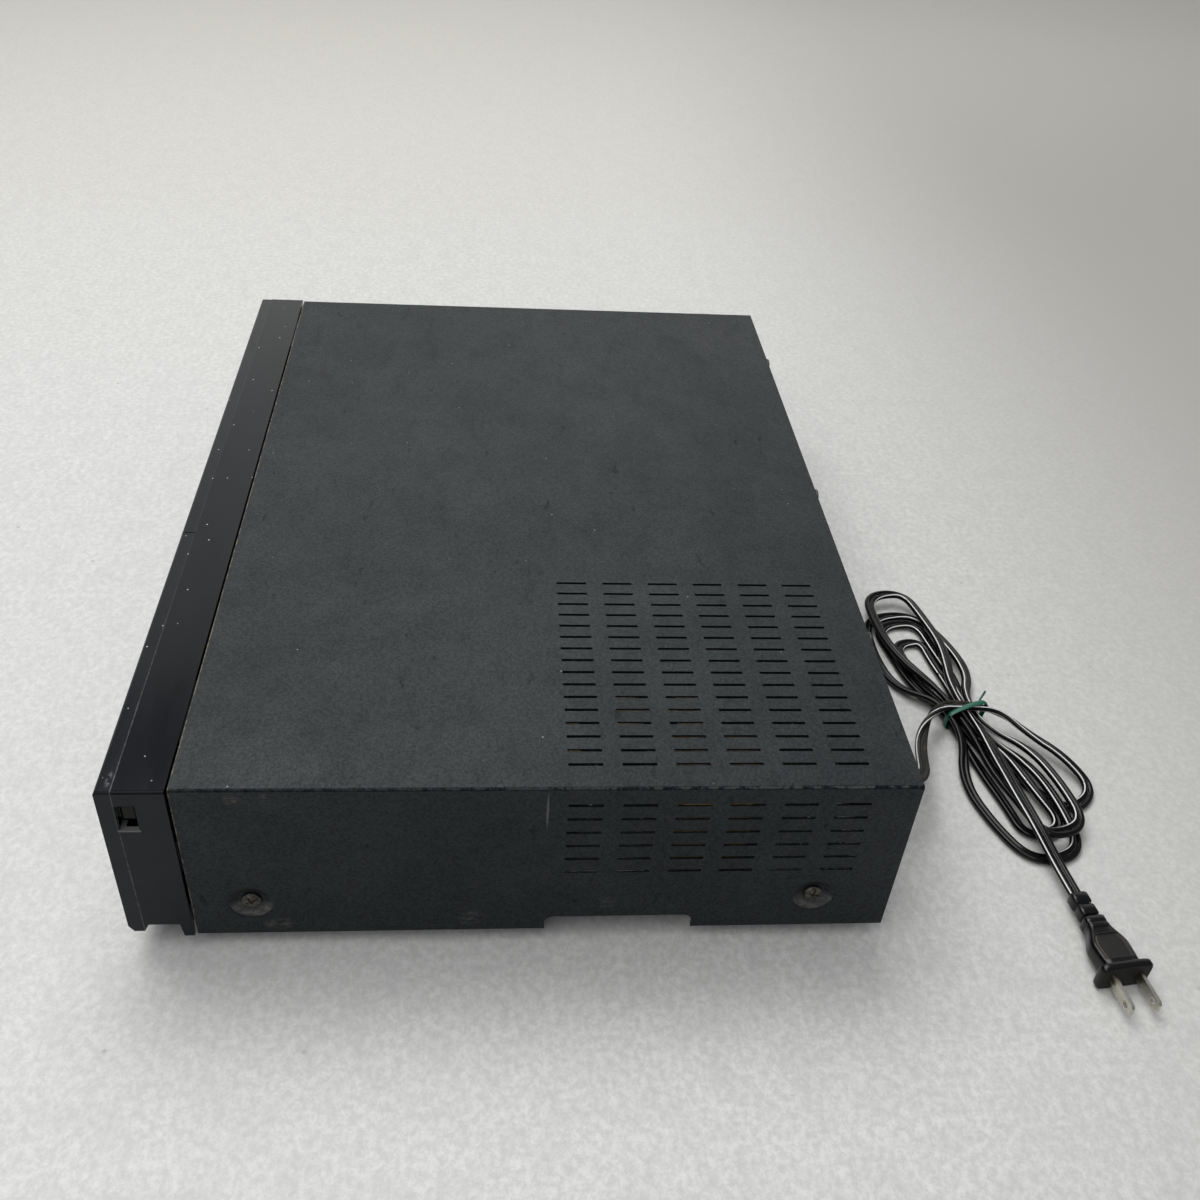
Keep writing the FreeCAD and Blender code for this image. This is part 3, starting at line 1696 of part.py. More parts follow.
def make_cord_hank():
    stations = hank_stations()
    first, last = stations[0], stations[-1]
    lead_in = first[0] - first[1] * cord_tube
    edges = [Part.LineSegment(lead_in, first[0]).toShape()]
    for (p0, t0), (p1, t1) in zip(stations, stations[1:]):
        edges += biarc(p0, t0, p1, t1)
    edges.append(Part.LineSegment(last[0], last[0] + last[1] * cord_tube).toShape())
    path = Part.Wire(edges)
    tube = swept(path, lead_in, first[1])
    radii = [e.Curve.Radius for e in edges if hasattr(e.Curve, "Radius")]
    points = path.discretize(Distance=3.0)
    skip = int(4 * cord_tube / 3.0)
    least = min(
        (a - b).Length for i, a in enumerate(points) for b in points[i + skip :]
    )
    error = tube.Volume / (section_area * path.Length) - 1
    print(f"cord_hank: length {path.Length:.1f}, least radius {min(radii):.1f}, volume {error:+.2%}")
    print(f"cord_hank: least gap to itself {least - cord_tube / math.cos(math.pi / 8):.2f}")
    return tube


def hank_ends():
    first, *_, last = hank_stations()
    return first[0] - first[1] * cord_tube, last[0] + last[1] * cord_tube


# Twist tie: a flat band round the waist, wider at the top for the lead's strand, its two ends twisted
def make_twist_tie():
    radius = cord_tube / 2 / math.cos(math.pi / 8)
    left = min(c for c, _ in home_columns) * waist_pitch - radius - easy_gap
    right = max(c for c, _ in out_columns) * waist_pitch + radius + easy_gap
    lead_side = right + lead_slant
    low = cord_tube / 2 + waist_lift - radius - tie_clearance
    lead_low = low + 2 * layer_pitch - easy_gap
    high = cord_tube / 2 + waist_lift + 2 * layer_pitch + radius + 0.4
    inside = [
        (left, low),
        (left, high),
        (lead_side, high),
        (lead_side, lead_low),
        (right, low + layer_pitch),
        (right, low),
    ]
    outline = Part.makePolygon([Vector(0, y, z) for y, z in inside + inside[:1]])
    inner = Part.Face(outline)
    outer = inner.makeOffset2D(tie_thickness)
    band = outer.cut(inner).extrude(Vector(tie_band, 0, 0))
    band.translate(Vector(-tie_band / 2, 0, 0))
    start = lead_side + tie_thickness / 2
    tail = box(-0.6, 0.6, start, start + tie_tail, high - 4, high - 3)
    tie = joined(band, tail)
    tie.rotate(Vector(0, 0, 0), UP, waist_heading)
    tie.translate(Vector(waist[0], floor_y + waist[1], 0))
    return tie


# Plug: a moulded two-blade plug lying flat, with a segmented strain relief
plug_place = (200.5, 96.3)
plug_heading = 7.0


def place_plug(shape):
    shape.rotate(Vector(0, 0, 0), UP, plug_heading)
    shape.translate(Vector(plug_place[0], floor_y + plug_place[1], plug_flange[2] / 2))
    return shape


def make_plug_body():
    half_wide, half_high = relief_width / 2, relief_height / 2
    first = box(0, 0.27 * relief_length, -half_wide, half_wide, -half_high, half_high)
    first = first.makeFillet(1.4, long_edges(first, RIGHT, lambda x, y, z: True))
    second = first.copy()
    second.translate(Vector(0.4 * relief_length, 0, 0))
    narrow, shallow = half_wide - 1.6, half_high - 1
    core = box(1, relief_length + 1, -narrow, narrow, -shallow, shallow)
    start, end = relief_length - 1.5, relief_length + plug_body_length
    neck, waist_half, flange_half = plug_neck / 2, plug_waist / 2, plug_flange[1] / 2 - 3.5
    middle = (start + end) / 2
    left = [Vector(start, neck, 0), Vector(middle, waist_half, 0), Vector(end, flange_half, 0)]
    right = [Vector(end, -flange_half, 0), Vector(middle, -waist_half, 0), Vector(start, -neck, 0)]
    outline = [
        Part.LineSegment(right[2], left[0]).toShape(),
        Part.Arc(*left).toShape(),
        Part.LineSegment(left[2], right[0]).toShape(),
        Part.Arc(*right).toShape(),
    ]
    body = Part.Face(Part.Wire(outline)).extrude(Vector(0, 0, plug_height))
    body.translate(Vector(0, 0, -plug_height / 2))
    body = body.makeFillet(1.2, [e for e in body.Edges if abs(e.CenterOfMass.z) > plug_height / 2 - 0.1])
    thick, wide, high = plug_flange
    flange = box(end - 0.5, end + thick, -wide / 2, wide / 2, -high / 2, high / 2)
    flange = flange.makeFillet(2.5, long_edges(flange, RIGHT, lambda x, y, z: True))
    grips = []
    for side in (-1, 1):
        low, top = sorted((side * plug_height / 2, side * (plug_height / 2 - 0.5)))
        grips.append(box(start + 6, end - 2.5, -neck + 1.2, neck - 1.2, low, top))
    plug = joined(body, core, flange, first, second).cut(Part.makeCompound(grips))
    return place_plug(plug)


def make_plug_blades():
    start = relief_length + plug_body_length + plug_flange[0]
    blades = []
    for side in (-1, 1):
        y = side * blade_spacing / 2
        half, thick = blade_width / 2, blade_thickness / 2
        blade = box(start, start + blade_length, y - thick, y + thick, -half, half)
        tip = long_edges(blade, REAR, lambda px, py, pz: px > start + blade_length - 0.1)
        blade = blade.makeChamfer(1.2, tip)
        hole = rod(blade_hole, (start + blade_length - 4.2, y - 3, 0), 6, REAR)
        blades.append(place_plug(blade.cut(hole)))
    return blades


# Free stretches of the cord: points chosen by eye, from end to end
def make_cord_lead():
    start = gland_end()
    end, _ = hank_ends()
    route = [
        (start.x, start.y, start.z),
        (start.x, start.y + 7.4, start.z),
        (146.8, floor_y + 32.4, 28.8),
        (139.8, floor_y + 36.9, 26.2),
        (131.2, floor_y + 39.4, 23.0),
        (122.2, floor_y + 41.8, 20.4),
        (113.2, floor_y + 44.6, 18.2),
        (104.0, floor_y + 48.4, 16.4),
        (95.2, floor_y + 53.2, 14.9),
        (86.8, floor_y + 59.0, 13.6),
        (80.3, floor_y + 65.2, 12.6),
        (76.9, floor_y + 73.2, 12.3),
        (end.x, end.y, end.z),
    ]
    return free_cord("cord_lead", route)


def make_cord_tail():
    _, start = hank_ends()
    along = unit(waist_heading)
    x, y = plug_place
    heading = unit(plug_heading)
    plug_start = Vector(x, floor_y + y, plug_flange[2] / 2)
    near = plug_start - heading * 13.0
    away = start + along * 8.0
    route = [
        (start.x, start.y, start.z),
        (away.x, away.y, away.z + 1.2),
        (108.0, floor_y + 84.4, 12.2),
        (124.0, floor_y + 85.6, 13.0),
        (142.0, floor_y + 87.0, 13.2),
        (160.0, floor_y + 89.6, 12.5),
        (174.0, floor_y + 92.3, 9.8),
        (near.x, near.y, near.z + 0.3),
        (plug_start.x, plug_start.y, plug_start.z),
    ]
    return free_cord("cord_tail", route)


save("top_cover", make_top_cover())
save("cover_screws", *make_cover_screws())
save("chassis_pan", make_chassis_pan())
save("feet", *make_feet())
save("rear_panel", make_rear_panel())
save("channel_switch", make_channel_switch())
save("fascia_frame", make_fascia_frame())
save("left_front_panel", make_left_front_panel())
save("right_front_panel", make_right_front_panel())
save("cassette_flap", make_cassette_flap())
save("display_window", make_display_window())
save("display_tube", make_display_tube())
save("front_board", *make_front_board())
for name, x, z, wide, tall in button_rows:
    save(name, make_button(x, z, wide, tall))
save("main_board", make_main_board())
save("power_board", make_power_board())
save("board_parts", *make_board_parts(), *make_power_capacitors())
save("heat_sink", make_heat_sink())
save("transformer_core", make_transformer_core())
save("transformer_coil", make_transformer_coil())
save("tuner_can", make_tuner_can())
save("rf_connectors", *make_rf_connectors())
save("av_jacks", joined(make_av_jack_block(), *make_av_jacks()))
save("cord_gland", make_cord_gland())
save("deck_plate", make_deck_plate())
for name, (x, y) in zip(("supply_reel_table", "take_up_reel_table"), reel_places()):
    save(name, make_reel_table(x, y))
save("clutch_pulley", make_clutch_pulley())
save("reel_drive_belt", make_reel_drive_belt())
save("idler_arm", make_idler_arm())
save("idler_wheel", make_idler_wheel())
save("drum_base", make_drum_base())
save("head_drum", make_head_drum())
save("capstan", make_capstan())
save("pinch_arm", make_pinch_arm())
save("pinch_roller", make_pinch_roller())
save("supply_guide_post", make_guide_post(-1))
save("take_up_guide_post", make_guide_post(1))
save("audio_control_head", make_audio_control_head())
save("loading_motor", make_loading_motor())
save("loading_pinion", make_loading_pinion())
save("cam_gear", make_cam_gear())
save("carriage_frame", make_carriage_frame())
save("cassette_holder", make_cassette_holder())
save("carriage_slider", make_carriage_slider())
save("cord_lead", make_cord_lead())
save("cord_hank", make_cord_hank())
save("cord_tail", make_cord_tail())
save("twist_tie", make_twist_tie())
save("plug_body", make_plug_body())
save("plug_blades", *make_plug_blades())
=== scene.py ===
import math

import bmesh
import bpy
import numpy as np
from mathutils import Matrix, Vector


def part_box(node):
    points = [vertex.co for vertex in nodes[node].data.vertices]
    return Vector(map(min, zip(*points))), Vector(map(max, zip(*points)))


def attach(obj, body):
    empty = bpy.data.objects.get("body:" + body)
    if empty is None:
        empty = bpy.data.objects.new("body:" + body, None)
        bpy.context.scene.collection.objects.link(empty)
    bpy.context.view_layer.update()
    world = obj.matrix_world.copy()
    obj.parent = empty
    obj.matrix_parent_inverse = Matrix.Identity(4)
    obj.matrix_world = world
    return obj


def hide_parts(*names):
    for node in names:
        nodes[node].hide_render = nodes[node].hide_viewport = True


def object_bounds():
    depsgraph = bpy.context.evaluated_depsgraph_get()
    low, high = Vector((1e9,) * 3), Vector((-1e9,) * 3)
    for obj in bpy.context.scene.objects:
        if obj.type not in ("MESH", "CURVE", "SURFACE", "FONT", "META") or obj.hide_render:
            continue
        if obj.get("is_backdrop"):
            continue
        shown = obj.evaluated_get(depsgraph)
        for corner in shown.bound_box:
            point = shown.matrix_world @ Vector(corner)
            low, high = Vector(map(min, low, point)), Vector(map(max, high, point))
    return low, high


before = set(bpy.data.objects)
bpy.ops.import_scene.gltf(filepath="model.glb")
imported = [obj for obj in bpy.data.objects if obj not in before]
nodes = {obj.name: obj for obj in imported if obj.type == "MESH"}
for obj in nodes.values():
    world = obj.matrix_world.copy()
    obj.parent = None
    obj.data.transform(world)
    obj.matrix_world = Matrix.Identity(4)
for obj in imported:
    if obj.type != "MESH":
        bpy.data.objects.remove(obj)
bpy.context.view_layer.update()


# Camera: where the photograph was taken from, beside the right-hand end of the recorder,
# about 38 degrees above the table, with a short lens.
def put_in_scene(name, data):
    made = bpy.data.objects.new(name, data)
    bpy.context.scene.collection.objects.link(made)
    return made


camera = bpy.context.scene.camera = put_in_scene("camera", bpy.data.cameras.new("camera"))
camera.data.lens = 36.86
ahead = Vector((-0.78195, 0.09309, -0.61635)).normalized()
rightwards = Vector((0.0672, 0.9956, 0.0651))
rightwards = (rightwards - ahead * rightwards.dot(ahead)).normalized()
upwards = rightwards.cross(ahead)
camera.matrix_world = Matrix.Translation((0.5433, -0.0229, 0.4482)) @ Matrix(
    (rightwards, upwards, -ahead)
).transposed().to_4x4()
bpy.context.scene.view_settings.view_transform = "Standard"


# Table and light: a pale, faintly mottled sheet that sweeps up behind, under one large soft lamp
# overhead and to the far side, with a weaker one over the camera that opens the shadow in front. A painted
# shade darkens the sheet towards the right.
def add(tree, kind, inputs=None, **settings):
    """One shader node: its settings, then its inputs by name or number, each a value or another node's output."""
    node = tree.nodes.new("ShaderNode" + kind)
    for name, value in settings.items():
        setattr(node, name, value)
    for name, value in (inputs or {}).items():
        if isinstance(value, bpy.types.NodeSocket):
            tree.links.new(value, node.inputs[name])
        else:
            node.inputs[name].default_value = value
    return node


def calc(tree, operation, first, second=0.0, third=0.0):
    """One step of arithmetic on values that change over the surface."""
    return add(tree, "Math", {0: first, 1: second, 2: third}, operation=operation).outputs[0]


def times(tree, *factors):
    """The product of values, worked out from the left."""
    product = factors[0]
    for factor in factors[1:]:
        product = calc(tree, "MULTIPLY", product, factor)
    return product


def larger(tree, first, second):
    return calc(tree, "MAXIMUM", first, second)


def split(tree, vector):
    """The x, y and z of a place or a direction."""
    return add(tree, "SeparateXYZ", {0: vector}).outputs


def material(name, colour, roughness, **sockets):
    """A new material of one colour and roughness. Returns it with its node tree, its shader and the place on
    the object that its patterns read."""
    made = bpy.data.materials.new(name)
    made.use_nodes = True
    shader = made.node_tree.nodes["Principled BSDF"]
    shader.inputs["Base Color"].default_value = (*colour, 1)
    shader.inputs["Roughness"].default_value = roughness
    for socket, value in sockets.items():
        shader.inputs[socket.replace("_", " ")].default_value = value
    return made, made.node_tree, shader, add(made.node_tree, "TexCoord").outputs["Object"]


def feed(shader, **sockets):
    """Links values to a shader's inputs. A socket's name has _ for a space."""
    for socket, value in sockets.items():
        shader.id_data.links.new(value, shader.inputs[socket.replace("_", " ")])


def noise(tree, where, scale, detail=3.0, roughness=0.5):
    """Fractal noise in 3-D, its middle at 0.5; scale is in grains per metre."""
    inputs = {"Vector": where, "Scale": scale, "Detail": detail, "Roughness": roughness}
    return add(tree, "TexNoise", inputs).outputs["Fac"]


def spread(tree, value, low, high, to_low=0.0, to_high=1.0):
    """A value between low and high, carried smoothly over to the range to_low to to_high."""
    inputs = {"Value": value, "From Min": low, "From Max": high, "To Min": to_low, "To Max": to_high}
    return add(tree, "MapRange", inputs, interpolation_type="SMOOTHSTEP").outputs["Result"]


def blend(tree, share, first, second):
    """Two colours, mixed by a share from 0 to 1."""
    node = add(tree, "Mix", data_type="RGBA")
    for socket, value in zip((node.inputs[0], node.inputs[6], node.inputs[7]), (share, first, second)):
        if isinstance(value, bpy.types.NodeSocket):
            tree.links.new(value, socket)
        else:
            socket.default_value = (*value, 1) if hasattr(value, "__len__") and len(value) == 3 else value
    return node.outputs[2]


def grid_mesh(name, X, Y, Z, ring=False, caps=False, uv=None):
    """A mesh from grids of coordinates: row i, column j is one point, and each four neighbours are one face.
    With ring the last column joins the first. With caps the first and last rows are closed by a face each."""
    rows, columns = X.shape
    points = np.stack([X, Y, Z], axis=-1).reshape(-1, 3)
    index = np.arange(rows * columns).reshape(rows, columns)
    across = np.concatenate([index, index[:, :1]], axis=1) if ring else index
    corners = [across[:-1, :-1], across[:-1, 1:], across[1:, 1:], across[1:, :-1]]
    faces = np.stack(corners, axis=-1).reshape(-1, 4).tolist()
    if caps:
        faces += [index[0, ::-1].tolist(), index[-1].tolist()]
    mesh = bpy.data.meshes.new(name)
    mesh.from_pydata(points, [], faces)
    if uv is not None:
        layer = mesh.uv_layers.new(name="UVMap")
        loops = np.zeros(len(mesh.loops), int)
        mesh.loops.foreach_get("vertex_index", loops)
        layer.data.foreach_set("uv", np.stack(uv, axis=-1).reshape(-1, 2)[loops].astype(np.float32).ravel())
    mesh.shade_smooth()
    return put_in_scene(name, mesh)


table_half, table_far, sweep_radius, sweep_top = 3.0, 1.6, 0.9, 2.5
paper, tree, shader, where = material("table_paper", (0.60, 0.59, 0.565), 0.6)
pulp = noise(tree, where, 260.0, 5.0, 0.8)
cloud = noise(tree, where, 60.0, 4.0, 0.6)
broad = noise(tree, where, 1.4, 1.0)
fleck = add(tree, "TexVoronoi", {"Vector": where, "Scale": 34.0}).outputs["Distance"]
base = blend(tree, spread(tree, pulp, 0.36, 0.66), (0.520, 0.517, 0.500), (0.670, 0.667, 0.648))
base = blend(tree, spread(tree, cloud, 0.42, 0.66, 0.0, 0.28), base, (0.47, 0.465, 0.462))
base = blend(tree, spread(tree, broad, 0.3, 0.7, 0.0, 0.2), base, (0.62, 0.62, 0.61))
base = blend(tree, spread(tree, fleck, 0.05, 0.02, 0.0, 0.35), base, (0.20, 0.19, 0.17))
axes = split(tree, where)
base = blend(tree, spread(tree, axes[0], -0.1, -1.3, 0.0, 0.6), base, (0.60, 0.575, 0.51))
# painted shade: darker towards the right, most on the near part, where the lamp's light falls off
painted_falloff_shade = times(tree, spread(tree, axes[1], 0.10, 0.60), spread(tree, axes[0], -1.5, -0.6, 0.35, 0.95))
base = blend(tree, painted_falloff_shade, base, (0.370, 0.360, 0.335))
wall = spread(tree, axes[2], 0.25, 0.9)
base = blend(tree, wall, base, (0.86, 0.85, 0.82))
feed(shader, Base_Color=base)
# the raised part behind glows, but only for the camera and in reflections, and lights nothing
rays = add(tree, "LightPath").outputs
seen = larger(tree, rays["Is Camera Ray"], rays["Is Glossy Ray"])
seen = larger(tree, seen, rays["Is Transmission Ray"])
shader.inputs["Emission Color"].default_value = (1.0, 0.99, 0.97, 1)
feed(shader, Emission_Strength=times(tree, seen, wall, 0.68))
along = np.linspace(-table_half, table_half, 25)
turn = np.linspace(0, math.pi / 2, 13)
bend = table_far + sweep_radius * np.sin(turn[1:])
run = np.concatenate([np.linspace(table_half, -table_far, 24), -bend, -bend[-1:]])
rise = np.concatenate([np.zeros(24), sweep_radius * (1 - np.cos(turn[1:])), [sweep_top]])
X, Y = np.broadcast_arrays(run[:, None], along[None, :])
table = grid_mesh("table_sheet", X, Y, np.broadcast_to(rise[:, None], X.shape))
table.data.materials.append(paper)
table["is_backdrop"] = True

for name, place, sides, power in (
    ("soft_lamp", (-0.70, -0.45, 2.05), (2.0, 1.2), 39),
    ("fill_lamp", (1.00, -0.65, 1.85), (1.6, 1.6), 19),
):
    lamp = put_in_scene(name, bpy.data.lights.new(name, "AREA"))
    lamp.data.shape, lamp.data.size, lamp.data.size_y = "RECTANGLE", *sides
    lamp.data.energy = power
    lamp.location = place
    lamp.rotation_euler = Vector(place).to_track_quat("Z", "Y").to_euler()
world = bpy.data.worlds.new("room")
bpy.context.scene.world = world
world.use_nodes = True
world.node_tree.nodes["Background"].inputs["Color"].default_value = (0.92, 0.96, 1.0, 1)
world.node_tree.nodes["Background"].inputs["Strength"].default_value = 0.27


# Chassis pan: zinc-plated steel sheet, pressed to a tray with bosses for the boards and the deck.
# Everything else is screwed into it.
def group(name, inputs, outputs):
    """An empty node group. Inputs are (name, kind, value) and outputs (name, kind)."""
    tree = bpy.data.node_groups.new(name, "ShaderNodeTree")
    for label, kind, value in inputs:
        socket = tree.interface.new_socket(label, in_out="INPUT", socket_type="NodeSocket" + kind)
        if value is not None:
            socket.default_value = value
    for label, kind in outputs:
        tree.interface.new_socket(label, in_out="OUTPUT", socket_type="NodeSocket" + kind)
    return tree, tree.nodes.new("NodeGroupInput").outputs, tree.nodes.new("NodeGroupOutput").inputs


def finish(made, *names):
    """Gives nodes of the construction their finish."""
    for name in names:
        for place in nodes[name].material_slots:
            place.material = made


def relief(shader, height, depth, strength=1.0):
    """A height from 0 to 1 over the surface, felt by the light as so many metres deep."""
    bump = add(shader.id_data, "Bump", {"Height": height, "Strength": strength, "Distance": depth})
    feed(shader, Normal=bump.outputs["Normal"])


def stretched(tree, where, x, y, z):
    """The place on the object with each axis multiplied, for a pattern that is drawn out one way."""
    return add(tree, "Mapping", {"Vector": where, "Scale": (x, y, z)}).outputs[0]


plating, given, result = group(
    "plated_sheet",
    [("Place", "Vector", None), ("Crystal", "Float", 140.0)],
    [("Shade", "Float"), ("Height", "Float")],
)
crystal = add(plating, "TexVoronoi", {"Vector": given["Place"], "Scale": given["Crystal"]}).outputs["Color"]
tone = add(plating, "SeparateColor", {0: crystal}).outputs[0]
rolled = noise(plating, stretched(plating, given["Place"], 1.0, 30.0, 30.0), 30.0, 4.0, 0.6)
plating.links.new(calc(plating, "MULTIPLY_ADD", tone, 0.4, times(plating, rolled, 0.6)), result["Shade"])
plating.links.new(rolled, result["Height"])


def plated_steel(name, dark, light, roughness, crystal=140.0):
    """Plated or bare metal sheet between two shades, with its rolling marks."""
    made, tree, shader, where = material(name, light, roughness, Metallic=1.0)
    sheet = add(tree, "Group", {"Place": where, "Crystal": crystal}, node_tree=plating).outputs
    stain = spread(tree, noise(tree, where, 22.0, 4.0), 0.55, 0.8, 0.0, 0.5)
    colour = blend(tree, sheet["Shade"], dark, light)
    feed(shader, Base_Color=blend(tree, stain, colour, [c * 0.6 for c in dark]))
    rough = spread(tree, sheet["Shade"], 0.2, 0.8, roughness + 0.1, roughness - 0.08)
    feed(shader, Roughness=rough)
    relief(shader, sheet["Height"], 0.00005, 0.5)
    return made


finish(plated_steel("pan_steel", (0.42, 0.43, 0.44), (0.62, 0.63, 0.62), 0.42), "chassis_pan")


# Feet: four black plastic feet, pushed into the pan. They lift the case off the table and are
# hidden under it.
def moulded_plastic(name, colour, roughness, grain=1300.0, depth=0.00004):
    """Plain moulded plastic with the fine grain of its tool and a little variation of sheen."""
    made, tree, shader, where = material(name, colour, roughness)
    cloud = noise(tree, where, 45.0, 3.0)
    paler = [c * 1.35 + 0.002 for c in colour]
    feed(shader, Base_Color=blend(tree, spread(tree, cloud, 0.3, 0.75), colour, paler))
    rough = spread(tree, cloud, 0.3, 0.7, roughness - 0.06, roughness + 0.08)
    feed(shader, Roughness=rough)
    relief(shader, noise(tree, where, grain, 2.0), depth)
    return made


finish(moulded_plastic("foot_plastic", (0.018, 0.018, 0.02), 0.55), "feet")


# Circuit boards: brown paper laminate with a green mask over copper tracks; tinned pads.
# The main board fills the left two thirds of the pan, the power board the right rear corner.
def laminate(name, base, mask, flat):
    """A board's surface. The pattern barely changes along the axis that has the small number in flat."""
    made, tree, shader, where = material(name, base, 0.45)
    cells = {"Vector": stretched(tree, where, *flat), "Scale": 190.0}
    near = add(tree, "TexVoronoi", cells, distance="MANHATTAN", feature="DISTANCE_TO_EDGE").outputs["Distance"]
    track = spread(tree, near, 0.10, 0.16)
    pad = add(tree, "TexVoronoi", cells, distance="EUCLIDEAN").outputs["Distance"]
    green = blend(tree, track, [c * 0.45 for c in mask], mask)
    fibre = noise(tree, where, 900.0, 2.0)
    surface = blend(tree, spread(tree, fibre, 0.3, 0.7, 0.0, 0.3), green, base)
    tinned = blend(tree, spread(tree, pad, 0.17, 0.13), surface, (0.52, 0.52, 0.50))
    feed(shader, Base_Color=tinned)
    feed(shader, Roughness=spread(tree, track, 0.0, 1.0, 0.5, 0.32))
    relief(shader, track, 0.00003)
    return made


brown_paper, green_mask = (0.16, 0.10, 0.045), (0.03, 0.10, 0.04)
lying = laminate("lying_board_laminate", brown_paper, green_mask, (1.0, 1.0, 0.02))
finish(lying, "main_board", "power_board")
finish(laminate("standing_board_laminate", brown_paper, green_mask, (1.0, 0.02, 1.0)), "front_board")


# Parts on the boards: black chips in rows, and capacitors in shrunk sleeves. Warmth has browned
# the capacitors' bare tops.
bodies, tree, shader, where = material("component_body", (0.02, 0.02, 0.022), 0.45)
up = split(tree, add(tree, "NewGeometry").outputs["Normal"])[2]
height = split(tree, where)[2]
can_top = times(tree, spread(tree, up, 0.8, 0.9), spread(tree, height, 0.0225, 0.0235))
sleeve = spread(tree, height, 0.0215, 0.0225)
body_colour = blend(tree, noise(tree, where, 60.0, 2.0), (0.016, 0.016, 0.018), (0.03, 0.03, 0.034))
sleeved = blend(tree, sleeve, body_colour, (0.012, 0.02, 0.05))
feed(shader, Base_Color=blend(tree, can_top, sleeved, (0.36, 0.29, 0.17)))
feed(shader, Metallic=can_top)
feed(shader, Roughness=spread(tree, noise(tree, where, 400.0, 2.0), 0.3, 0.7, 0.3, 0.5))
finish(bodies, "board_parts")


# Heat sink: extruded aluminium fins for the power supply, standing on the power board. Dust and
# warmth have browned them.
sink_metal = plated_steel("sink_aluminium", (0.26, 0.20, 0.12), (0.42, 0.35, 0.24), 0.45, 400.0)
finish(sink_metal, "heat_sink")


# Transformer: varnished steel laminations with rust at their edges, round a coil under amber
# tape. It shows through the slots.
laminations, tree, shader, where = material("core_laminations", (0.20, 0.16, 0.12), 0.5, Metallic=0.6)
axes = split(tree, where)
ply = calc(tree, "ABSOLUTE", calc(tree, "SINE", times(tree, axes[0], math.pi / 0.0007)))
rust = spread(tree, noise(tree, where, 120.0, 4.0), 0.45, 0.65)
steel = blend(tree, ply, (0.05, 0.035, 0.02), (0.26, 0.22, 0.17))
feed(shader, Base_Color=blend(tree, rust, steel, (0.17, 0.085, 0.03)))
feed(shader, Roughness=spread(tree, rust, 0.0, 1.0, 0.4, 0.75))
relief(shader, ply, 0.0001)
finish(laminations, "transformer_core")
amber, tree, shader, where = material("coil_tape", (0.55, 0.34, 0.08), 0.35)
axes = split(tree, where)
lap = calc(tree, "FRACT", times(tree, axes[2], 1 / 0.0095))
wrinkle = noise(tree, stretched(tree, where, 1.0, 1.0, 12.0), 60.0, 3.0)
tape = blend(tree, wrinkle, (0.34, 0.19, 0.04), (0.62, 0.42, 0.12))
feed(shader, Base_Color=blend(tree, spread(tree, lap, 0.94, 1.0), tape, (0.12, 0.06, 0.02)))
relief(shader, wrinkle, 0.0002, 0.6)
finish(amber, "transformer_coil")


# Tuner can, aerial sockets and phono sockets: tinned steel cans and turned, plated barrels, with
# a coloured ring moulded at the foot of each phono socket: yellow, white and red from the top.
finish(plated_steel("tinned_can", (0.50, 0.50, 0.49), (0.70, 0.70, 0.68), 0.3, 60.0), "tuner_can")
turning, given, result = group(
    "turned_rings", [("Place", "Vector", None), ("Pitch", "Float", 0.0003)], [("Height", "Float")]
)
turned = split(turning, given["Place"])
across = times(turning, turned[1], turned[1])
sideways = calc(turning, "SQRT", calc(turning, "MULTIPLY_ADD", turned[0], turned[0], across))
steps = calc(turning, "DIVIDE", calc(turning, "ADD", sideways, turned[2]), given["Pitch"])
wave = calc(turning, "MULTIPLY_ADD", calc(turning, "SINE", times(turning, steps, 2 * math.pi)), 0.3, 0.5)
uneven = noise(turning, given["Place"], 500.0, 2.0)
turning.links.new(calc(turning, "MULTIPLY_ADD", uneven, 0.4, times(turning, wave, 0.6)), result["Height"])


def turned_metal(name, colour, roughness, centre, pitch=0.0003, **sockets):
    """Metal turned on a lathe, its rings centred on an axis that stands at centre."""
    made, tree, shader, where = material(name, colour, roughness, Metallic=1.0, **sockets)
    where = add(tree, "Mapping", {"Vector": where, "Location": tuple(-c for c in centre)}).outputs[0]
    rings = add(tree, "Group", {"Place": where, "Pitch": pitch}, node_tree=turning).outputs["Height"]
    darker = [c * 0.7 for c in colour]
    feed(shader, Base_Color=blend(tree, rings, darker, colour))
    feed(shader, Roughness=spread(tree, rings, 0.2, 0.8, roughness + 0.08, roughness - 0.06))
    relief(shader, rings, 0.00002)
    return made


socket_plating = turned_metal("socket_plating", (0.72, 0.70, 0.64), 0.25, (-0.165, 0.0, 0.0))
finish(socket_plating, "rf_connectors")
red_row, white_row, yellow_row = 0.040, 0.055, 0.070
panel_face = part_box("rear_panel")[1].y
jacks, tree, shader, where = material("jack_plastic", (0.015, 0.015, 0.017), 0.4)
axes = split(tree, where)
outside = spread(tree, axes[1], panel_face - 0.0002, panel_face)
past_ring = spread(tree, axes[1], panel_face + 0.0017, panel_face + 0.0019)
above_red, above_white = (red_row + white_row) / 2, (white_row + yellow_row) / 2
upper = spread(tree, axes[2], above_white - 0.0001, above_white + 0.0001)
middle = spread(tree, axes[2], above_red - 0.0001, above_red + 0.0001)
ring = blend(tree, middle, (0.55, 0.02, 0.02), (0.75, 0.74, 0.70))
ring = blend(tree, upper, ring, (0.75, 0.55, 0.03))
body_colour = blend(tree, noise(tree, where, 80.0), (0.012, 0.012, 0.013), (0.022, 0.022, 0.024))
dyed = blend(tree, outside, body_colour, ring)
feed(shader, Base_Color=blend(tree, past_ring, dyed, (0.72, 0.70, 0.64)))
feed(shader, Metallic=past_ring)
feed(shader, Roughness=spread(tree, past_ring, 0.0, 1.0, 0.42, 0.25))
finish(jacks, "av_jacks")


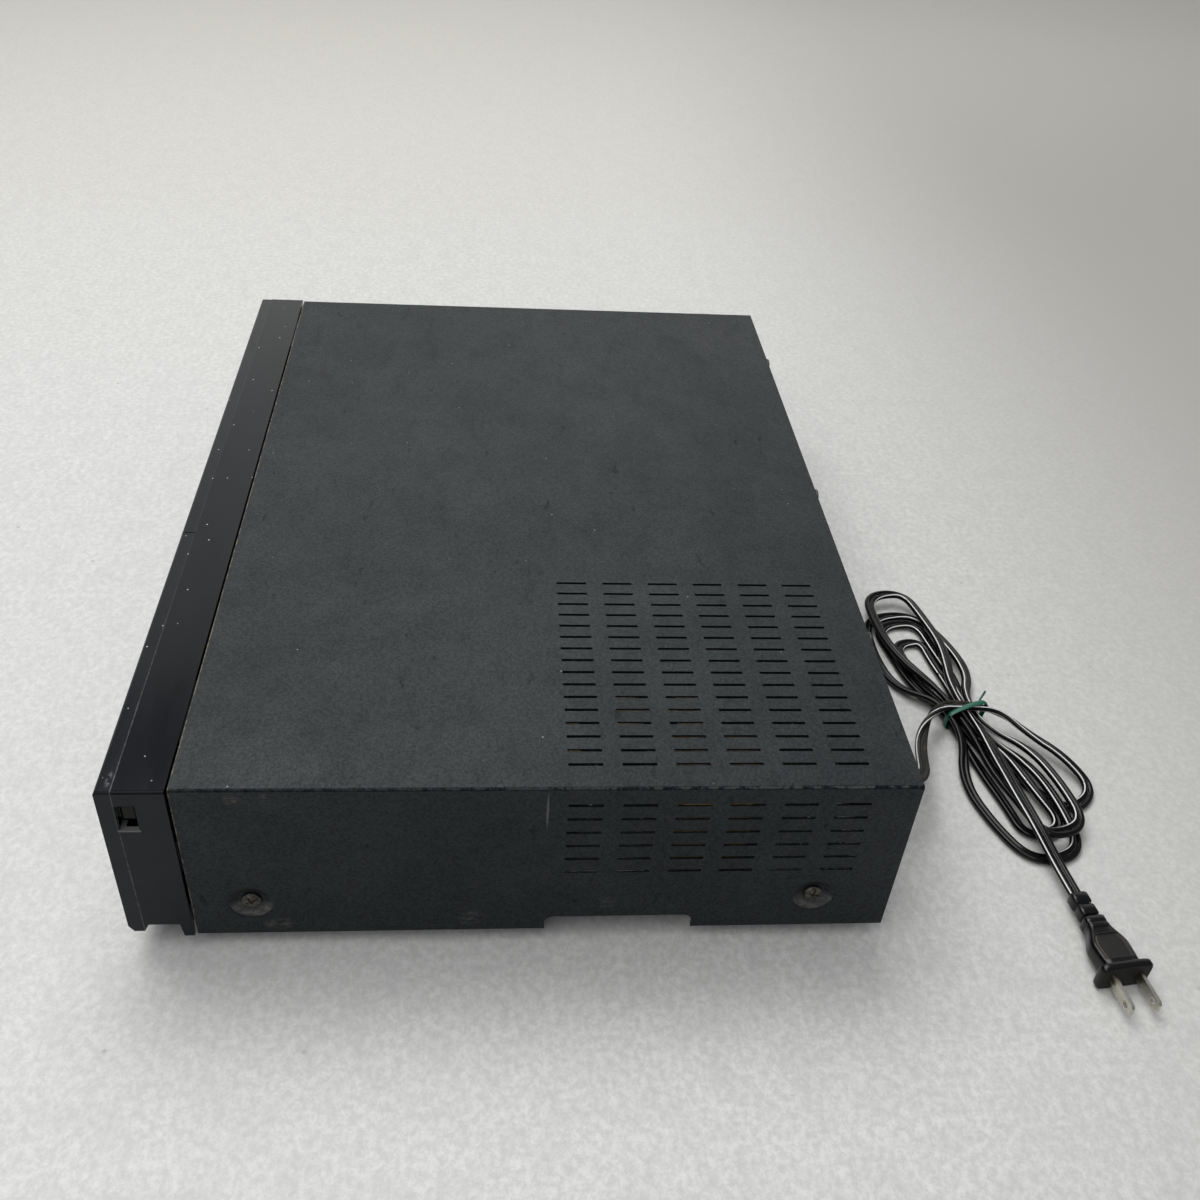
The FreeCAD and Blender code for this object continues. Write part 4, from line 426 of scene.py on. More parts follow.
# Rear panel: a steel sheet under dark grey paint, pierced for the sockets, with the slide switch
# that picks the aerial channel and the rubber bush that grips the cord.
paint, tree, shader, where = material("rear_paint", (0.035, 0.036, 0.038), 0.5)
orange = noise(tree, where, 900.0, 2.0)
cloud = noise(tree, where, 14.0, 4.0)
feed(shader, Base_Color=blend(tree, cloud, (0.028, 0.029, 0.031), (0.045, 0.046, 0.048)))
feed(shader, Roughness=spread(tree, cloud, 0.3, 0.7, 0.42, 0.55))
relief(shader, orange, 0.00006)
finish(paint, "rear_panel")
finish(moulded_plastic("switch_plastic", (0.45, 0.44, 0.41), 0.4), "channel_switch")
finish(moulded_plastic("gland_rubber", (0.012, 0.012, 0.013), 0.5, 900.0), "cord_gland")


# Tape deck: a plated steel plate on posts, with reel tables, a slipping clutch and a swinging
# idler below the cassette, driven by a belt from the capstan.
finish(plated_steel("deck_steel", (0.42, 0.42, 0.39), (0.60, 0.60, 0.56), 0.42, 90.0), "deck_plate")
reel_plastic = moulded_plastic("reel_plastic", (0.75, 0.74, 0.70), 0.4)
finish(reel_plastic, "supply_reel_table", "take_up_reel_table")
acetal = moulded_plastic("gear_plastic", (0.68, 0.66, 0.58), 0.38)
finish(acetal, "clutch_pulley", "cam_gear", "loading_pinion")
rubber = moulded_plastic("roller_rubber", (0.022, 0.021, 0.020), 0.7, 700.0)
finish(rubber, "idler_wheel", "pinch_roller")
finish(moulded_plastic("belt_rubber", (0.014, 0.014, 0.014), 0.6, 600.0), "reel_drive_belt")
arm_steel = plated_steel("arm_steel", (0.45, 0.43, 0.36), (0.66, 0.62, 0.50), 0.35, 200.0)
finish(arm_steel, "idler_arm", "pinch_arm")


# Head drum and tape path: a turned aluminium drum that leans, on its cast base, with the capstan,
# the guide posts that draw the tape round it, and the sound head.
def centre_of(box):
    return (box[0] + box[1]) / 2


drum_centre = centre_of(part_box("head_drum"))
drum_metal = turned_metal("drum_aluminium", (0.80, 0.80, 0.82), 0.18, drum_centre, 0.00045)
finish(drum_metal, "head_drum")
finish(plated_steel("cast_base", (0.40, 0.40, 0.41), (0.58, 0.58, 0.60), 0.4, 700.0), "drum_base")
shaft_steel = turned_metal("shaft_steel", (0.72, 0.72, 0.74), 0.2, centre_of(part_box("capstan")))
finish(shaft_steel, "capstan")
for side in ("supply", "take_up"):
    post_centre = centre_of(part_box(side + "_guide_post"))
    post_steel = turned_metal(side + "_post_steel", (0.70, 0.70, 0.72), 0.2, post_centre)
    finish(post_steel, side + "_guide_post")
finish(plated_steel("head_shield", (0.52, 0.50, 0.46), (0.72, 0.70, 0.66), 0.25, 300.0), "audio_control_head")
motor_can = turned_metal("motor_can", (0.62, 0.62, 0.63), 0.3, centre_of(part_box("loading_motor")))
finish(motor_can, "loading_motor")


# Cassette carriage: plated brackets with L-shaped slots, the holder that rides in them and the
# slider that pulls it in and down.
carriage = plated_steel("carriage_steel", (0.46, 0.47, 0.48), (0.66, 0.67, 0.68), 0.35, 110.0)
finish(carriage, "carriage_frame", "cassette_holder", "carriage_slider")


# Front: black moulded frame with a left and a right plate clipped on, a hinged cassette flap and a
# smoked window before the display. Each moulding has its edges eased, as it leaves its tool.
eased_at = math.radians(35)


def eased_copy(node, width, segments=3):
    """A copy of a node's mesh with its points joined and its flat faces whole. Its sharp edges are rounded off, the
    long ones by the full width and those under 20 mm by a quarter of it."""
    mesh = nodes[node].data.copy()
    made = put_in_scene(node + "_moulding", mesh)
    work = bmesh.new()
    work.from_mesh(mesh)
    bmesh.ops.remove_doubles(work, verts=work.verts, dist=2e-6)
    bmesh.ops.dissolve_limit(work, angle_limit=math.radians(0.5), verts=work.verts, edges=work.edges)
    share = work.edges.layers.float.new("bevel_weight_edge")
    for edge in work.edges:
        if edge.calc_face_angle(0.0) > eased_at:
            edge[share] = 1.0 if edge.calc_length() > 0.020 else 0.25
    work.to_mesh(mesh)
    work.free()
    mesh.materials.clear()
    mesh.shade_smooth()
    rounding = made.modifiers.new("eased_edges", "BEVEL")
    rounding.width, rounding.segments, rounding.limit_method = width, segments, "WEIGHT"
    flat = made.modifiers.new("flat_faces", "WEIGHTED_NORMAL")
    flat.mode, flat.weight = "FACE_AREA", 100
    return made


pale_line_tree, given, result = group(
    "broken_pale_line",
    [("Place", "Vector", None), ("Distance", "Float", 0.0), ("Width", "Float", 0.0005), ("Broken", "Float", 1.0)],
    [("Pale_share", "Float")],
)
near = calc(pale_line_tree, "SUBTRACT", 1.0, calc(pale_line_tree, "DIVIDE", given["Distance"], given["Width"]))
whole = calc(pale_line_tree, "SUBTRACT", 1.0, given["Broken"])
kept = spread(pale_line_tree, noise(pale_line_tree, given["Place"], 330.0, 4.0, 0.7), 0.42, 0.62, whole)
pale_line_tree.links.new(spread(pale_line_tree, times(pale_line_tree, near, kept), 0.05, 0.6), result["Pale_share"])
dusting, given, result = group(
    "dust", [("Place", "Vector", None), ("Normal", "Vector", None), ("Share", "Float", 0.2)], [("Dust", "Float")]
)
upward = spread(dusting, split(dusting, given["Normal"])[2], 0.5, 0.9)
cells = add(dusting, "TexVoronoi", {"Vector": given["Place"], "Scale": 75.0}, voronoi_dimensions="2D").outputs
chosen = add(dusting, "SeparateColor", {0: cells["Color"]}).outputs[0]
size = spread(dusting, chosen, calc(dusting, "SUBTRACT", 1.0, given["Share"]), 1.0, 0.0, 0.030)
speck = spread(dusting, calc(dusting, "SUBTRACT", size, cells["Distance"]), 0.0, 0.012)
dusting.links.new(times(dusting, speck, upward), result["Dust"])


def gap(tree, value, centre):
    """How far a value is from a centre, either way."""
    return calc(tree, "ABSOLUTE", calc(tree, "SUBTRACT", value, centre))


def broken_line_mask(tree, where, distance, width, broken):
    """A broken pale line of that width along the places where distance is nothing, drawn for wear and for painted
    highlights.
    """
    line = {"Place": where, "Distance": distance, "Width": width, "Broken": broken}
    return add(tree, "Group", line, node_tree=pale_line_tree).outputs[0]


def dust_on(tree, where, share):
    """Dust on what faces up: the share of cells that hold a speck."""
    facing = add(tree, "NewGeometry").outputs["Normal"]
    return add(tree, "Group", {"Place": where, "Normal": facing, "Share": share}, node_tree=dusting).outputs[0]


def nearness(tree, place, centre, reach):
    """1 at a point of the surface, and 0 from reach = (x, y, z) away from it."""
    offset = add(tree, "VectorMath", {0: place, 1: centre}, operation="SUBTRACT").outputs[0]
    scaled = add(tree, "VectorMath", {0: offset, 1: reach}, operation="DIVIDE").outputs[0]
    return spread(tree, add(tree, "VectorMath", {0: scaled}, operation="LENGTH").outputs["Value"], 1.0, 0.3)


front_end, front_top = 0.216, 0.096
joint_y, slit_x = -0.16245, 0.0468
sill_y, sill_z, sill_half = -0.1586, 0.0745, 0.0040
latch_y, latch_z, latch_half_deep, latch_half_high = -0.15755, 0.0843, 0.00275, 0.0040


def front_plastic(name, colour, roughness):
    """Glossy black styrene: faint flow marks, dust on what faces up, pale along the joint of its plates where it is
    partly wear and partly a painted highlight of their edges, a painted highlight on the sill of the latch window
    where light falls, a pale scuff in a patch by the near corner, and a painted shade round the latch in the window."""
    made, tree, shader, where = material(name, colour, roughness, Specular_IOR_Level=0.20)
    shader.inputs["Specular Tint"].default_value = (0.93, 0.97, 1.0, 1)
    axes = split(tree, where)
    flow = noise(tree, stretched(tree, where, 1.0, 6.0, 6.0), 14.0, 3.0)
    base = blend(tree, spread(tree, flow, 0.3, 0.7), [c * 0.85 for c in colour], [c * 1.2 for c in colour])
    # the pale line along the joint of the plates is partly wear and partly a painted highlight of their edges
    toward_end = spread(tree, axes[0], 0.06, front_end, 0.12, 0.50)
    joint_wear_and_highlight = times(tree, broken_line_mask(tree, where, gap(tree, axes[1], joint_y), 0.00042, 0.6), toward_end)
    # painted highlight: the sill of the latch window is painted pale, as where light from above falls on it
    past_sill = calc(tree, "SUBTRACT", gap(tree, axes[1], sill_y), sill_half)
    from_sill = calc(tree, "ADD", gap(tree, axes[2], sill_z), larger(tree, past_sill, 0.0))
    sill_painted_highlight = broken_line_mask(tree, where, from_sill, 0.0009, 0.2)
    patch = nearness(tree, where, (0.2090, -0.1642, 0.096), (0.0050, 0.0014, 0.004))
    patch = times(tree, patch, spread(tree, noise(tree, where, 420.0, 3.0), 0.42, 0.55))
    pale_wear_and_highlight = larger(tree, larger(tree, joint_wear_and_highlight, sill_painted_highlight), times(tree, patch, 0.7))
    # the plate's latch in the window is browned, and a painted shade on the window's walls round it makes it look
    # sunk; a dark slit parts the two plates
    aside = calc(tree, "SUBTRACT", gap(tree, axes[1], latch_y), latch_half_deep)
    above = calc(tree, "SUBTRACT", gap(tree, axes[2], latch_z), latch_half_high)
    from_rim = larger(tree, aside, above)
    at_latch = times(tree, spread(tree, axes[0], 0.2140, 0.2146), spread(tree, from_rim, 0.0003, 0.0001))
    # painted shade: the dark rim round the latch, where the window's walls stand
    outline = times(tree, at_latch, spread(tree, from_rim, -0.0007, -0.0004))
    slit = spread(tree, gap(tree, axes[0], slit_x), 0.0004, 0.0002)
    slit = times(tree, slit, spread(tree, axes[1], -0.1615, -0.1620))
    dark = larger(tree, outline, slit)
    base = blend(tree, at_latch, base, (0.0095, 0.0080, 0.0058))
    base = blend(tree, dark, base, (0.0006, 0.0006, 0.0006))
    from_end = calc(tree, "SUBTRACT", front_end, calc(tree, "ABSOLUTE", axes[0]))
    from_corner = calc(tree, "ADD", from_end, calc(tree, "SUBTRACT", front_top, axes[2]))
    turned = spread(tree, from_corner, 0.0013, 0.0009, 0.0, 0.65)
    dark = larger(tree, dark, turned)
    shine = calc(tree, "MULTIPLY_ADD", at_latch, -0.09, 0.20)
    shine = times(tree, shine, calc(tree, "SUBTRACT", 1.0, dark))
    feed(shader, Specular_IOR_Level=shine)
    base = blend(tree, pale_wear_and_highlight, base, (0.12, 0.12, 0.118))
    feed(shader, Base_Color=blend(tree, dust_on(tree, where, 0.8), base, (0.62, 0.61, 0.58)))
    hazed = calc(tree, "MULTIPLY_ADD", pale_wear_and_highlight, 0.35, spread(tree, flow, 0.3, 0.7, roughness - 0.02, roughness + 0.03))
    feed(shader, Roughness=hazed)
    relief(shader, noise(tree, where, 700.0, 2.0), 0.00001, 0.5)
    return made


frame_black = front_plastic("frame_plastic", (0.0040, 0.0050, 0.0066), 0.14)
plate_black = front_plastic("plate_plastic", (0.0070, 0.0080, 0.0100), 0.16)
for name, body, rounding, black in (
    ("fascia_frame", "recorder", 0.0011, frame_black),
    ("left_front_panel", "recorder", 0.0011, plate_black),
    ("right_front_panel", "recorder", 0.0011, plate_black),
    ("cassette_flap", "flap", 0.0005, plate_black),
):
    moulding = eased_copy(name, rounding)
    moulding.data.materials.append(black)
    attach(moulding, body)
    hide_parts(name)


# Display: a fluorescent tube behind a smoked window. It is dark while the recorder is off, so
# only the fields of its digits show, and no digit does.
def between(tree, value, low, low_end, high, high_end):
    """1 between two limits, each reached softly: from low to low_end, and down again from high_end to high."""
    return times(tree, spread(tree, value, low, low_end), spread(tree, value, high, high_end))


smoked, tree, shader, where = material("smoked_acrylic", (0.006, 0.007, 0.008), 0.08, Alpha=0.72)
smear = noise(tree, where, 40.0, 3.0)
feed(shader, Roughness=spread(tree, smear, 0.35, 0.7, 0.05, 0.14))
finish(smoked, "display_window")
tube, tree, shader, where = material("display_glass", (0.10, 0.11, 0.10), 0.12)
axes = split(tree, where)
first_digit, digit_pitch = 0.070, 0.012
digit = calc(tree, "FRACT", times(tree, calc(tree, "SUBTRACT", axes[0], first_digit), 1 / digit_pitch))
lower, upper = spread(tree, axes[2], 0.0685, 0.0688), spread(tree, axes[2], 0.0795, 0.0792)
inside = times(tree, between(tree, digit, 0.18, 0.22, 0.82, 0.78), lower, upper)
mesh_lines = calc(tree, "SINE", times(tree, calc(tree, "ADD", axes[0], axes[2]), 2 * math.pi / 0.0009))
phosphor = blend(tree, spread(tree, mesh_lines, -0.6, 0.6), (0.20, 0.26, 0.24), (0.13, 0.16, 0.15))
feed(shader, Base_Color=blend(tree, inside, (0.03, 0.035, 0.035), phosphor))
finish(tube, "display_tube")


# Buttons: ten sprung keys that stand a little proud of the right-hand plate. Printed marks tell what
# they do: the ordinary triangles, squares and bars of tape machines.
key_plastic = front_plastic("button_plastic", (0.016, 0.017, 0.020), 0.28)
ink = moulded_plastic("printed_ink", (0.62, 0.62, 0.60), 0.5)
key_width, key_height = 0.0022, 0.0018


def triangle(x, way):
    back, point = x - way * key_width / 2, x + way * key_width / 2
    return [(back, -key_height), (point, 0.0), (back, key_height)]


def bar(x, z, wide, tall):
    left, right, low, high = x - wide / 2, x + wide / 2, z - tall / 2, z + tall / 2
    return [(left, low), (right, low), (right, high), (left, high)]


def arc(radius, thickness, start, end, points=24):
    """A band of even thickness between two angles, or a disc where its inner radius is nothing."""
    turn = np.radians(np.linspace(start, end, points))
    outer = np.stack([np.cos(turn), np.sin(turn)], axis=1) * radius
    inner = outer[::-1] * (1 - thickness / radius)
    return np.vstack([outer, inner]).tolist() if thickness < radius else outer[:-1].tolist()


def printed_marks(name, outlines, middle_x, middle_z, face):
    """Thin closed prisms on a key's face, one for each outline of distances across and up from its middle."""
    points, faces = [], []
    for outline in outlines:
        first, count = len(points), len(outline)
        flat = np.array(outline) + (middle_x, middle_z)
        following = np.roll(flat, -1, axis=0)
        twice_area = (flat[:, 0] * following[:, 1] - flat[:, 1] * following[:, 0]).sum()
        flat = flat if twice_area > 0 else flat[::-1]
        for y in (face - 0.00004, face + 0.00001):
            points += np.column_stack([flat[:, 0], np.full(count, y), flat[:, 1]]).tolist()
        ahead_of = list(range(first, first + count))
        behind_of = [corner + count for corner in ahead_of]
        faces += [ahead_of, behind_of[::-1]]
        for i in range(count):
            after = (i + 1) % count
            faces.append([behind_of[i], behind_of[after], ahead_of[after], ahead_of[i]])
    mesh = bpy.data.meshes.new(name)
    mesh.from_pydata(points, [], faces)
    made = put_in_scene(name, mesh)
    made.data.materials.append(ink)
    return made


marks = {
    "power": [arc(0.0022, 0.0005, 125, 415), bar(0, 0.0016, 0.0005, 0.0022)],
    "rewind": [triangle(-key_width / 2, -1), triangle(key_width / 2, -1)],
    "play": [triangle(0, 1)],
    "fast_forward": [triangle(-key_width / 2, 1), triangle(key_width / 2, 1)],
    "stop": [bar(0, 0, 0.0034, 0.0034)],
    "pause": [bar(-0.0011, 0, 0.0010, 0.0036), bar(0.0011, 0, 0.0010, 0.0036)],
    "record": [arc(0.0018, 0.0018, 0, 360, 33)],
    "eject": [[(-0.0022, -0.0004), (0.0022, -0.0004), (0.0, 0.0020)], bar(0, -0.0015, 0.0044, 0.0010)],
    "channel_down": [[(-0.0020, 0.0012), (0.0, -0.0014), (0.0020, 0.0012)]],
    "channel_up": [[(-0.0020, -0.0012), (0.0020, -0.0012), (0.0, 0.0014)]],
}
for key, outlines in marks.items():
    name = key + "_button"
    low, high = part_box(name)
    cap = eased_copy(name, 0.0003, 2)
    cap.data.materials.append(key_plastic)
    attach(cap, name)
    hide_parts(name)
    # the box has the flange behind the plate, which is wider all round, so its middle is the cap's too
    mark = printed_marks(key + "_mark", outlines, (low.x + high.x) / 2, (low.z + high.z) / 2, low.y)
    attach(mark, name)


# Cover: one steel sheet bent over the top and both sides, in fine-grained black enamel, slotted over
# the power supply, with a dished seat for each side screw and rubbed bright along its bends.
enamel, tree, shader, where = material("cover_paint", (0.006, 0.008, 0.008), 0.5, Specular_IOR_Level=0.27)
cover_low, cover_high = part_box("top_cover")
right = cover_high.x
axes = split(tree, where)
shader.inputs["Specular Tint"].default_value = (0.92, 0.99, 0.99, 1)
grain = noise(tree, where, 900.0, 3.0, 0.8)
cloud = noise(tree, where, 11.0, 4.0, 0.6)
smudge = noise(tree, stretched(tree, where, 1.0, 2.5, 1.0), 30.0, 4.0, 0.65)
base = blend(tree, spread(tree, grain, 0.3, 0.7), (0.0003, 0.0016, 0.0026), (0.0080, 0.0120, 0.0142))
base = blend(tree, spread(tree, cloud, 0.45, 0.75, 0.0, 0.22), base, (0.016, 0.0175, 0.017))
base = blend(tree, spread(tree, smudge, 0.60, 0.78, 0.0, 0.30), base, (0.040, 0.038, 0.033))

# the side's own marks: scuffs by the front, one scratch, and a paler crescent in the lower part of each dished seat
scuffs = (
    ((right, -0.1192, 0.0903), (0.01, 0.0036, 0.0034), (0.11, 0.090, 0.065), 0.7),
    ((right, -0.1062, 0.0915), (0.01, 0.0016, 0.0040), (0.10, 0.085, 0.065), 0.4),
    ((right, -0.1075, 0.0150), (0.01, 0.008, 0.0045), (0.12, 0.12, 0.115), 0.55),
    ((right, -0.028, 0.0170), (0.01, 0.007, 0.007), (0.12, 0.12, 0.115), 0.4),
    ((right, 0.030, 0.0260), (0.01, 0.005, 0.005), (0.09, 0.09, 0.085), 0.4),
)
streaky = spread(tree, noise(tree, stretched(tree, where, 1.0, 1.0, 3.0), 190.0, 4.0, 0.7), 0.40, 0.66)
for centre, reach, colour, strength in scuffs:
    share = times(tree, nearness(tree, where, centre, reach), streaky, strength)
    base = blend(tree, share, base, colour)
seat_depths, seat_height = (0.0239, 0.2608), cover_low.z + 0.0195
for depth in seat_depths:
    seat = (0, cover_low.y + depth, seat_height)
    offset = add(tree, "VectorMath", {0: where, 1: seat}, operation="SUBTRACT").outputs[0]
    flat = add(tree, "VectorMath", {0: offset, 1: (0, 1, 1)}, operation="MULTIPLY").outputs[0]
    from_screw = add(tree, "VectorMath", {0: flat}, operation="LENGTH").outputs["Value"]
    in_ring = between(tree, from_screw, 0.0040, 0.0056, 0.0093, 0.0086)
    under = spread(tree, split(tree, offset)[2], 0.0005, -0.0035)
    settled = times(tree, in_ring, under)
    share = times(tree, settled, spread(tree, streaky, 0.0, 1.0, 0.35, 0.85))
    base = blend(tree, share, base, (0.095, 0.092, 0.085))
scratch = nearness(tree, where, (right, 0.0025, 0.083), (0.01, 0.0007, 0.013))
base = blend(tree, times(tree, scratch, 0.5), base, (0.16, 0.16, 0.155))

# in from the side and down from the top, added up: least on the round of the bend
bend_crown = 0.00075
inward = calc(tree, "SUBTRACT", right, calc(tree, "ABSOLUTE", axes[0]))
round_bend = calc(tree, "ADD", inward, calc(tree, "SUBTRACT", cover_high.z, axes[2]))
bend_worn = broken_line_mask(tree, where, gap(tree, round_bend, bend_crown), 0.00030, 0.9)
toward_rear = spread(tree, axes[1], cover_low.y, cover_high.y, 0.06, 0.32)
rim_worn = broken_line_mask(tree, where, calc(tree, "SUBTRACT", axes[1], cover_low.y), 0.0007, 0.75)
base = blend(tree, times(tree, bend_worn, toward_rear), base, (0.15, 0.155, 0.16))
base = blend(tree, times(tree, rim_worn, 0.8), base, (0.17, 0.13, 0.085))
dust = times(tree, dust_on(tree, where, 0.12), 0.7)
feed(shader, Base_Color=blend(tree, dust, base, (0.42, 0.41, 0.39)))
sheen = spread(tree, cloud, 0.3, 0.7, 0.41, 0.50)
sheen = calc(tree, "MULTIPLY_ADD", spread(tree, smudge, 0.50, 0.72), 0.08, sheen)
patchy = spread(tree, noise(tree, where, 36.0, 4.0, 0.65), 0.36, 0.66, 0.90, 1.09)
patchy = times(tree, patchy, spread(tree, grain, 0.32, 0.68, 0.76, 1.28))
marked = spread(tree, noise(tree, stretched(tree, where, 1.0, 2.2, 1.0), 75.0, 3.0), 0.67, 0.73, 0.0, 0.40)
feed(shader, Roughness=calc(tree, "MULTIPLY_ADD", bend_worn, -0.12, sheen))
on_bend = spread(tree, round_bend, 0.0013, 0.0009, 0.265, 0.09)
shine = times(tree, on_bend, patchy, calc(tree, "SUBTRACT", 1.0, marked))
feed(shader, Specular_IOR_Level=shine)
relief(shader, grain, 0.0002, 0.9)
finish(enamel, "top_cover")


# Screws: dark plated pan heads with a cross recess, one in each dished seat and three at the
# rear. Each is turned its own way, and grime lies on the plating.
head_radius, head_height, cross_reach, cross_half, cross_depth = 0.0041, 0.0021, 0.0023, 0.00045, 0.0012
dish_depth, rear_row_below_top = 0.0024, 0.0040
screws = [
    (side * (right - dish_depth), cover_low.y + depth, seat_height, (side, 0, 0), turned_by)
    for side, turns in ((1, (28, -12)), (-1, (5, 51)))
    for depth, turned_by in zip(seat_depths, turns)
]
screws += [
    (x, cover_high.y, cover_high.z - rear_row_below_top, (0, 1, 0), turned_by)
    for x, turned_by in ((-0.150, 10), (0.0, 40), (0.120, -20))
]


def screw_heads(name, screws):
    """Domed heads on a polar grid. The height falls as the square of the radius to a short upright rim, and drops
    to the floor of a cross with sloping ends where a point lies within either arm."""
    share = np.concatenate([np.linspace(0.04, 0.94, 26), [0.975, 0.995, 1.0, 1.0]])
    turn = np.arange(72) * 2 * math.pi / 72
    R, T = np.meshgrid(share * head_radius, turn, indexing="ij")
    u, v = R * np.cos(T), R * np.sin(T)
    H = head_height * (1 - 0.42 * (R / head_radius) ** 2)
    arm = np.minimum(np.maximum(np.abs(u) / cross_reach, np.abs(v) / cross_half),
                     np.maximum(np.abs(v) / cross_reach, np.abs(u) / cross_half))
    H = H - cross_depth * np.clip((1.12 - arm) / 0.24, 0, 1)
    H[-4:] = np.array([0.56, 0.50, 0.42, 0.0])[:, None] * head_height
    meshes = []
    for index, (x, y, z, way, degrees) in enumerate(screws):
        way = np.array(way, float)
        first = np.cross((0, 0, 1.0), way)
        second = np.cross(way, first)
        c, s = math.cos(math.radians(degrees)), math.sin(math.radians(degrees))
        first, second = first * c + second * s, second * c - first * s
        place = (np.array((x, y, z)) + u[..., None] * first + v[..., None] * second + H[..., None] * way)
        one = grid_mesh(name + str(index), *np.moveaxis(place[:, ::-1], -1, 0), ring=True, caps=True)
        meshes.append(one)
    work = bmesh.new()
    for one in meshes:
        work.from_mesh(one.data)
        bpy.data.objects.remove(one)
    bmesh.ops.recalc_face_normals(work, faces=work.faces)
    mesh = bpy.data.meshes.new(name)
    work.to_mesh(mesh)
    work.free()
    mesh.shade_smooth()
    return put_in_scene(name, mesh)


heads = screw_heads("screw_heads", screws)
screw_metal, tree, shader, where = material("screw_steel", (0.10, 0.09, 0.08), 0.38, Metallic=0.8)
grime = noise(tree, where, 500.0, 4.0, 0.6)
plated = blend(tree, spread(tree, grime, 0.3, 0.72), (0.025, 0.022, 0.019), (0.135, 0.120, 0.100))
feed(shader, Base_Color=plated)
feed(shader, Roughness=spread(tree, grime, 0.3, 0.7, 0.55, 0.30))
relief(shader, grime, 0.00003)
heads.data.materials.append(screw_metal)
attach(heads, "recorder")
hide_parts("cover_screws")


# Mains cord: flat twin lead in glossy black vinyl, one core ribbed and the other with a white line.
# It leaves the gland, crosses the tied waist of its own hank, makes four turns that fan out on the
# table at both ends, and runs over the waist again to the plug.
rear_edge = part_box("top_cover")[1].y
waist_centre = np.array([0.0810, rear_edge + 0.0800, 0.0])
waist_heading = 12.0
cord_width, cord_thickness = 0.0063, 0.0031
strand_pitch, layer_pitch, lowest_strand = 0.0048, 0.0047, 0.0029


def heading(degrees):
    return np.array([math.cos(math.radians(degrees)), math.sin(math.radians(degrees)), 0.0])


def in_waist(column, layer):
    """A strand's place in the tied waist, by its column across and its layer."""
    return (waist_centre + heading(waist_heading + 90) * column * strand_pitch
            + (0, 0, lowest_strand + layer * layer_pitch))


def round_loop(angle, length, first, end_height, second):
    """A loop's places and headings: a point on its outgoing side, one at its end, and one on its homeward
    side. Each side is its share of the loop's length, its distance across, and its height."""
    out, across, up = heading(angle), heading(angle + 90), np.array([0, 0, 1.0])
    return [
        (waist_centre + out * first[0] * length + across * first[1] + up * first[2], out),
        (waist_centre + out * length + up * end_height, -across),
        (waist_centre + out * second[0] * length - across * second[1] + up * second[2], -out),
    ]


near_loops = (
    (39.0, 0.073, (0.56, 0.0150, 0.0075), 0.0020, (0.50, 0.0130, 0.0020)),
    (13.0, 0.080, (0.55, 0.0077, 0.0067), 0.0022, (0.60, 0.0088, 0.0020)),
    (12.0, 0.095, (0.58, 0.0163, 0.0068), 0.0020, (0.56, 0.0210, 0.0020)),
    (16.5, 0.086, (0.55, 0.0165, 0.0110), 0.0088, (0.62, 0.0090, 0.0074)),
)
far_loops = (
    (191.0, 0.067, (0.66, 0.0085, 0.0020), 0.0020, (0.60, 0.0070, 0.0020)),
    (190.5, 0.084, (0.52, 0.0137, 0.0020), 0.0020, (0.53, 0.0123, 0.0020)),
    (191.0, 0.092, (0.50, 0.0240, 0.0020), 0.0020, (0.50, 0.0210, 0.0050)),
    (189.5, 0.106, (0.68, 0.0160, 0.0070), 0.0075, (0.66, 0.0140, 0.0075)),
)
outward = ((1.5, 2), (0.5, 0), (1.5, 0), (1.4, 1))
homeward = ((-0.5, 0), (-1.5, 0), (-1.65, 1), (-0.6, 1))
waist_along = heading(waist_heading)
places = []
for near, far, out, home in zip(near_loops, far_loops, outward, homeward):
    places.append((in_waist(*out), waist_along if places else heading(79.0)))
    places += round_loop(*near)
    places.append((in_waist(*home), -waist_along))
    places += round_loop(*far)
places.append((in_waist(0.4, 1), waist_along))


def meeting_points(places):
    """Between two places, the two points where their headings meet one common line, equally far from each."""
    at, towards = (np.array(values) for values in zip(*places))
    start, end, leave, reach = at[:-1], at[1:], towards[:-1], towards[1:]
    span = end - start
    a = 2 * ((leave * reach).sum(1) - 1)
    b = -2 * (span * (leave + reach)).sum(1)
    c = (span * span).sum(1)
    straight = np.abs(a) < 1e-9
    reach_of = np.where(straight, -c / b, (-b - np.sqrt(b * b - 4 * a * c)) / (2 * np.where(straight, 1, a)))
    corners = np.stack([start + leave * reach_of[:, None], end - reach * reach_of[:, None]], axis=1)
    return corners.reshape(-1, 3)


lead_points = np.array([
    (0.1500, 0.0172, 0.0300), (0.1500, 0.0246, 0.0300), (0.1468, 0.0324, 0.0288), (0.1398, 0.0369, 0.0262),
    (0.1312, 0.0394, 0.0230), (0.1222, 0.0418, 0.0204), (0.1132, 0.0446, 0.0182), (0.1040, 0.0484, 0.0164),
    (0.0952, 0.0532, 0.0149), (0.0868, 0.0590, 0.0136), (0.0803, 0.0652, 0.0126), (0.0769, 0.0732, 0.0123),
]) + (0, rear_edge, 0)
plug_start = np.array([0.2005, rear_edge + 0.0963, 0.0073])
plug_turn = 7.0
plug_heading = heading(plug_turn)
tail_points = np.vstack([
    places[-1][0] + waist_along * 0.0118 + (0, 0, 0.0012),
    np.array([
        (0.1080, 0.0844, 0.0122), (0.1240, 0.0856, 0.0130), (0.1420, 0.0870, 0.0132), (0.1600, 0.0896, 0.0125),
        (0.1740, 0.0923, 0.0098),
    ]) + (0, rear_edge, 0),
    plug_start - plug_heading * 0.013 + (0, 0, 0.0003),
    plug_start + plug_heading * 0.003,
])
route = np.vstack([lead_points, meeting_points(places), tail_points])


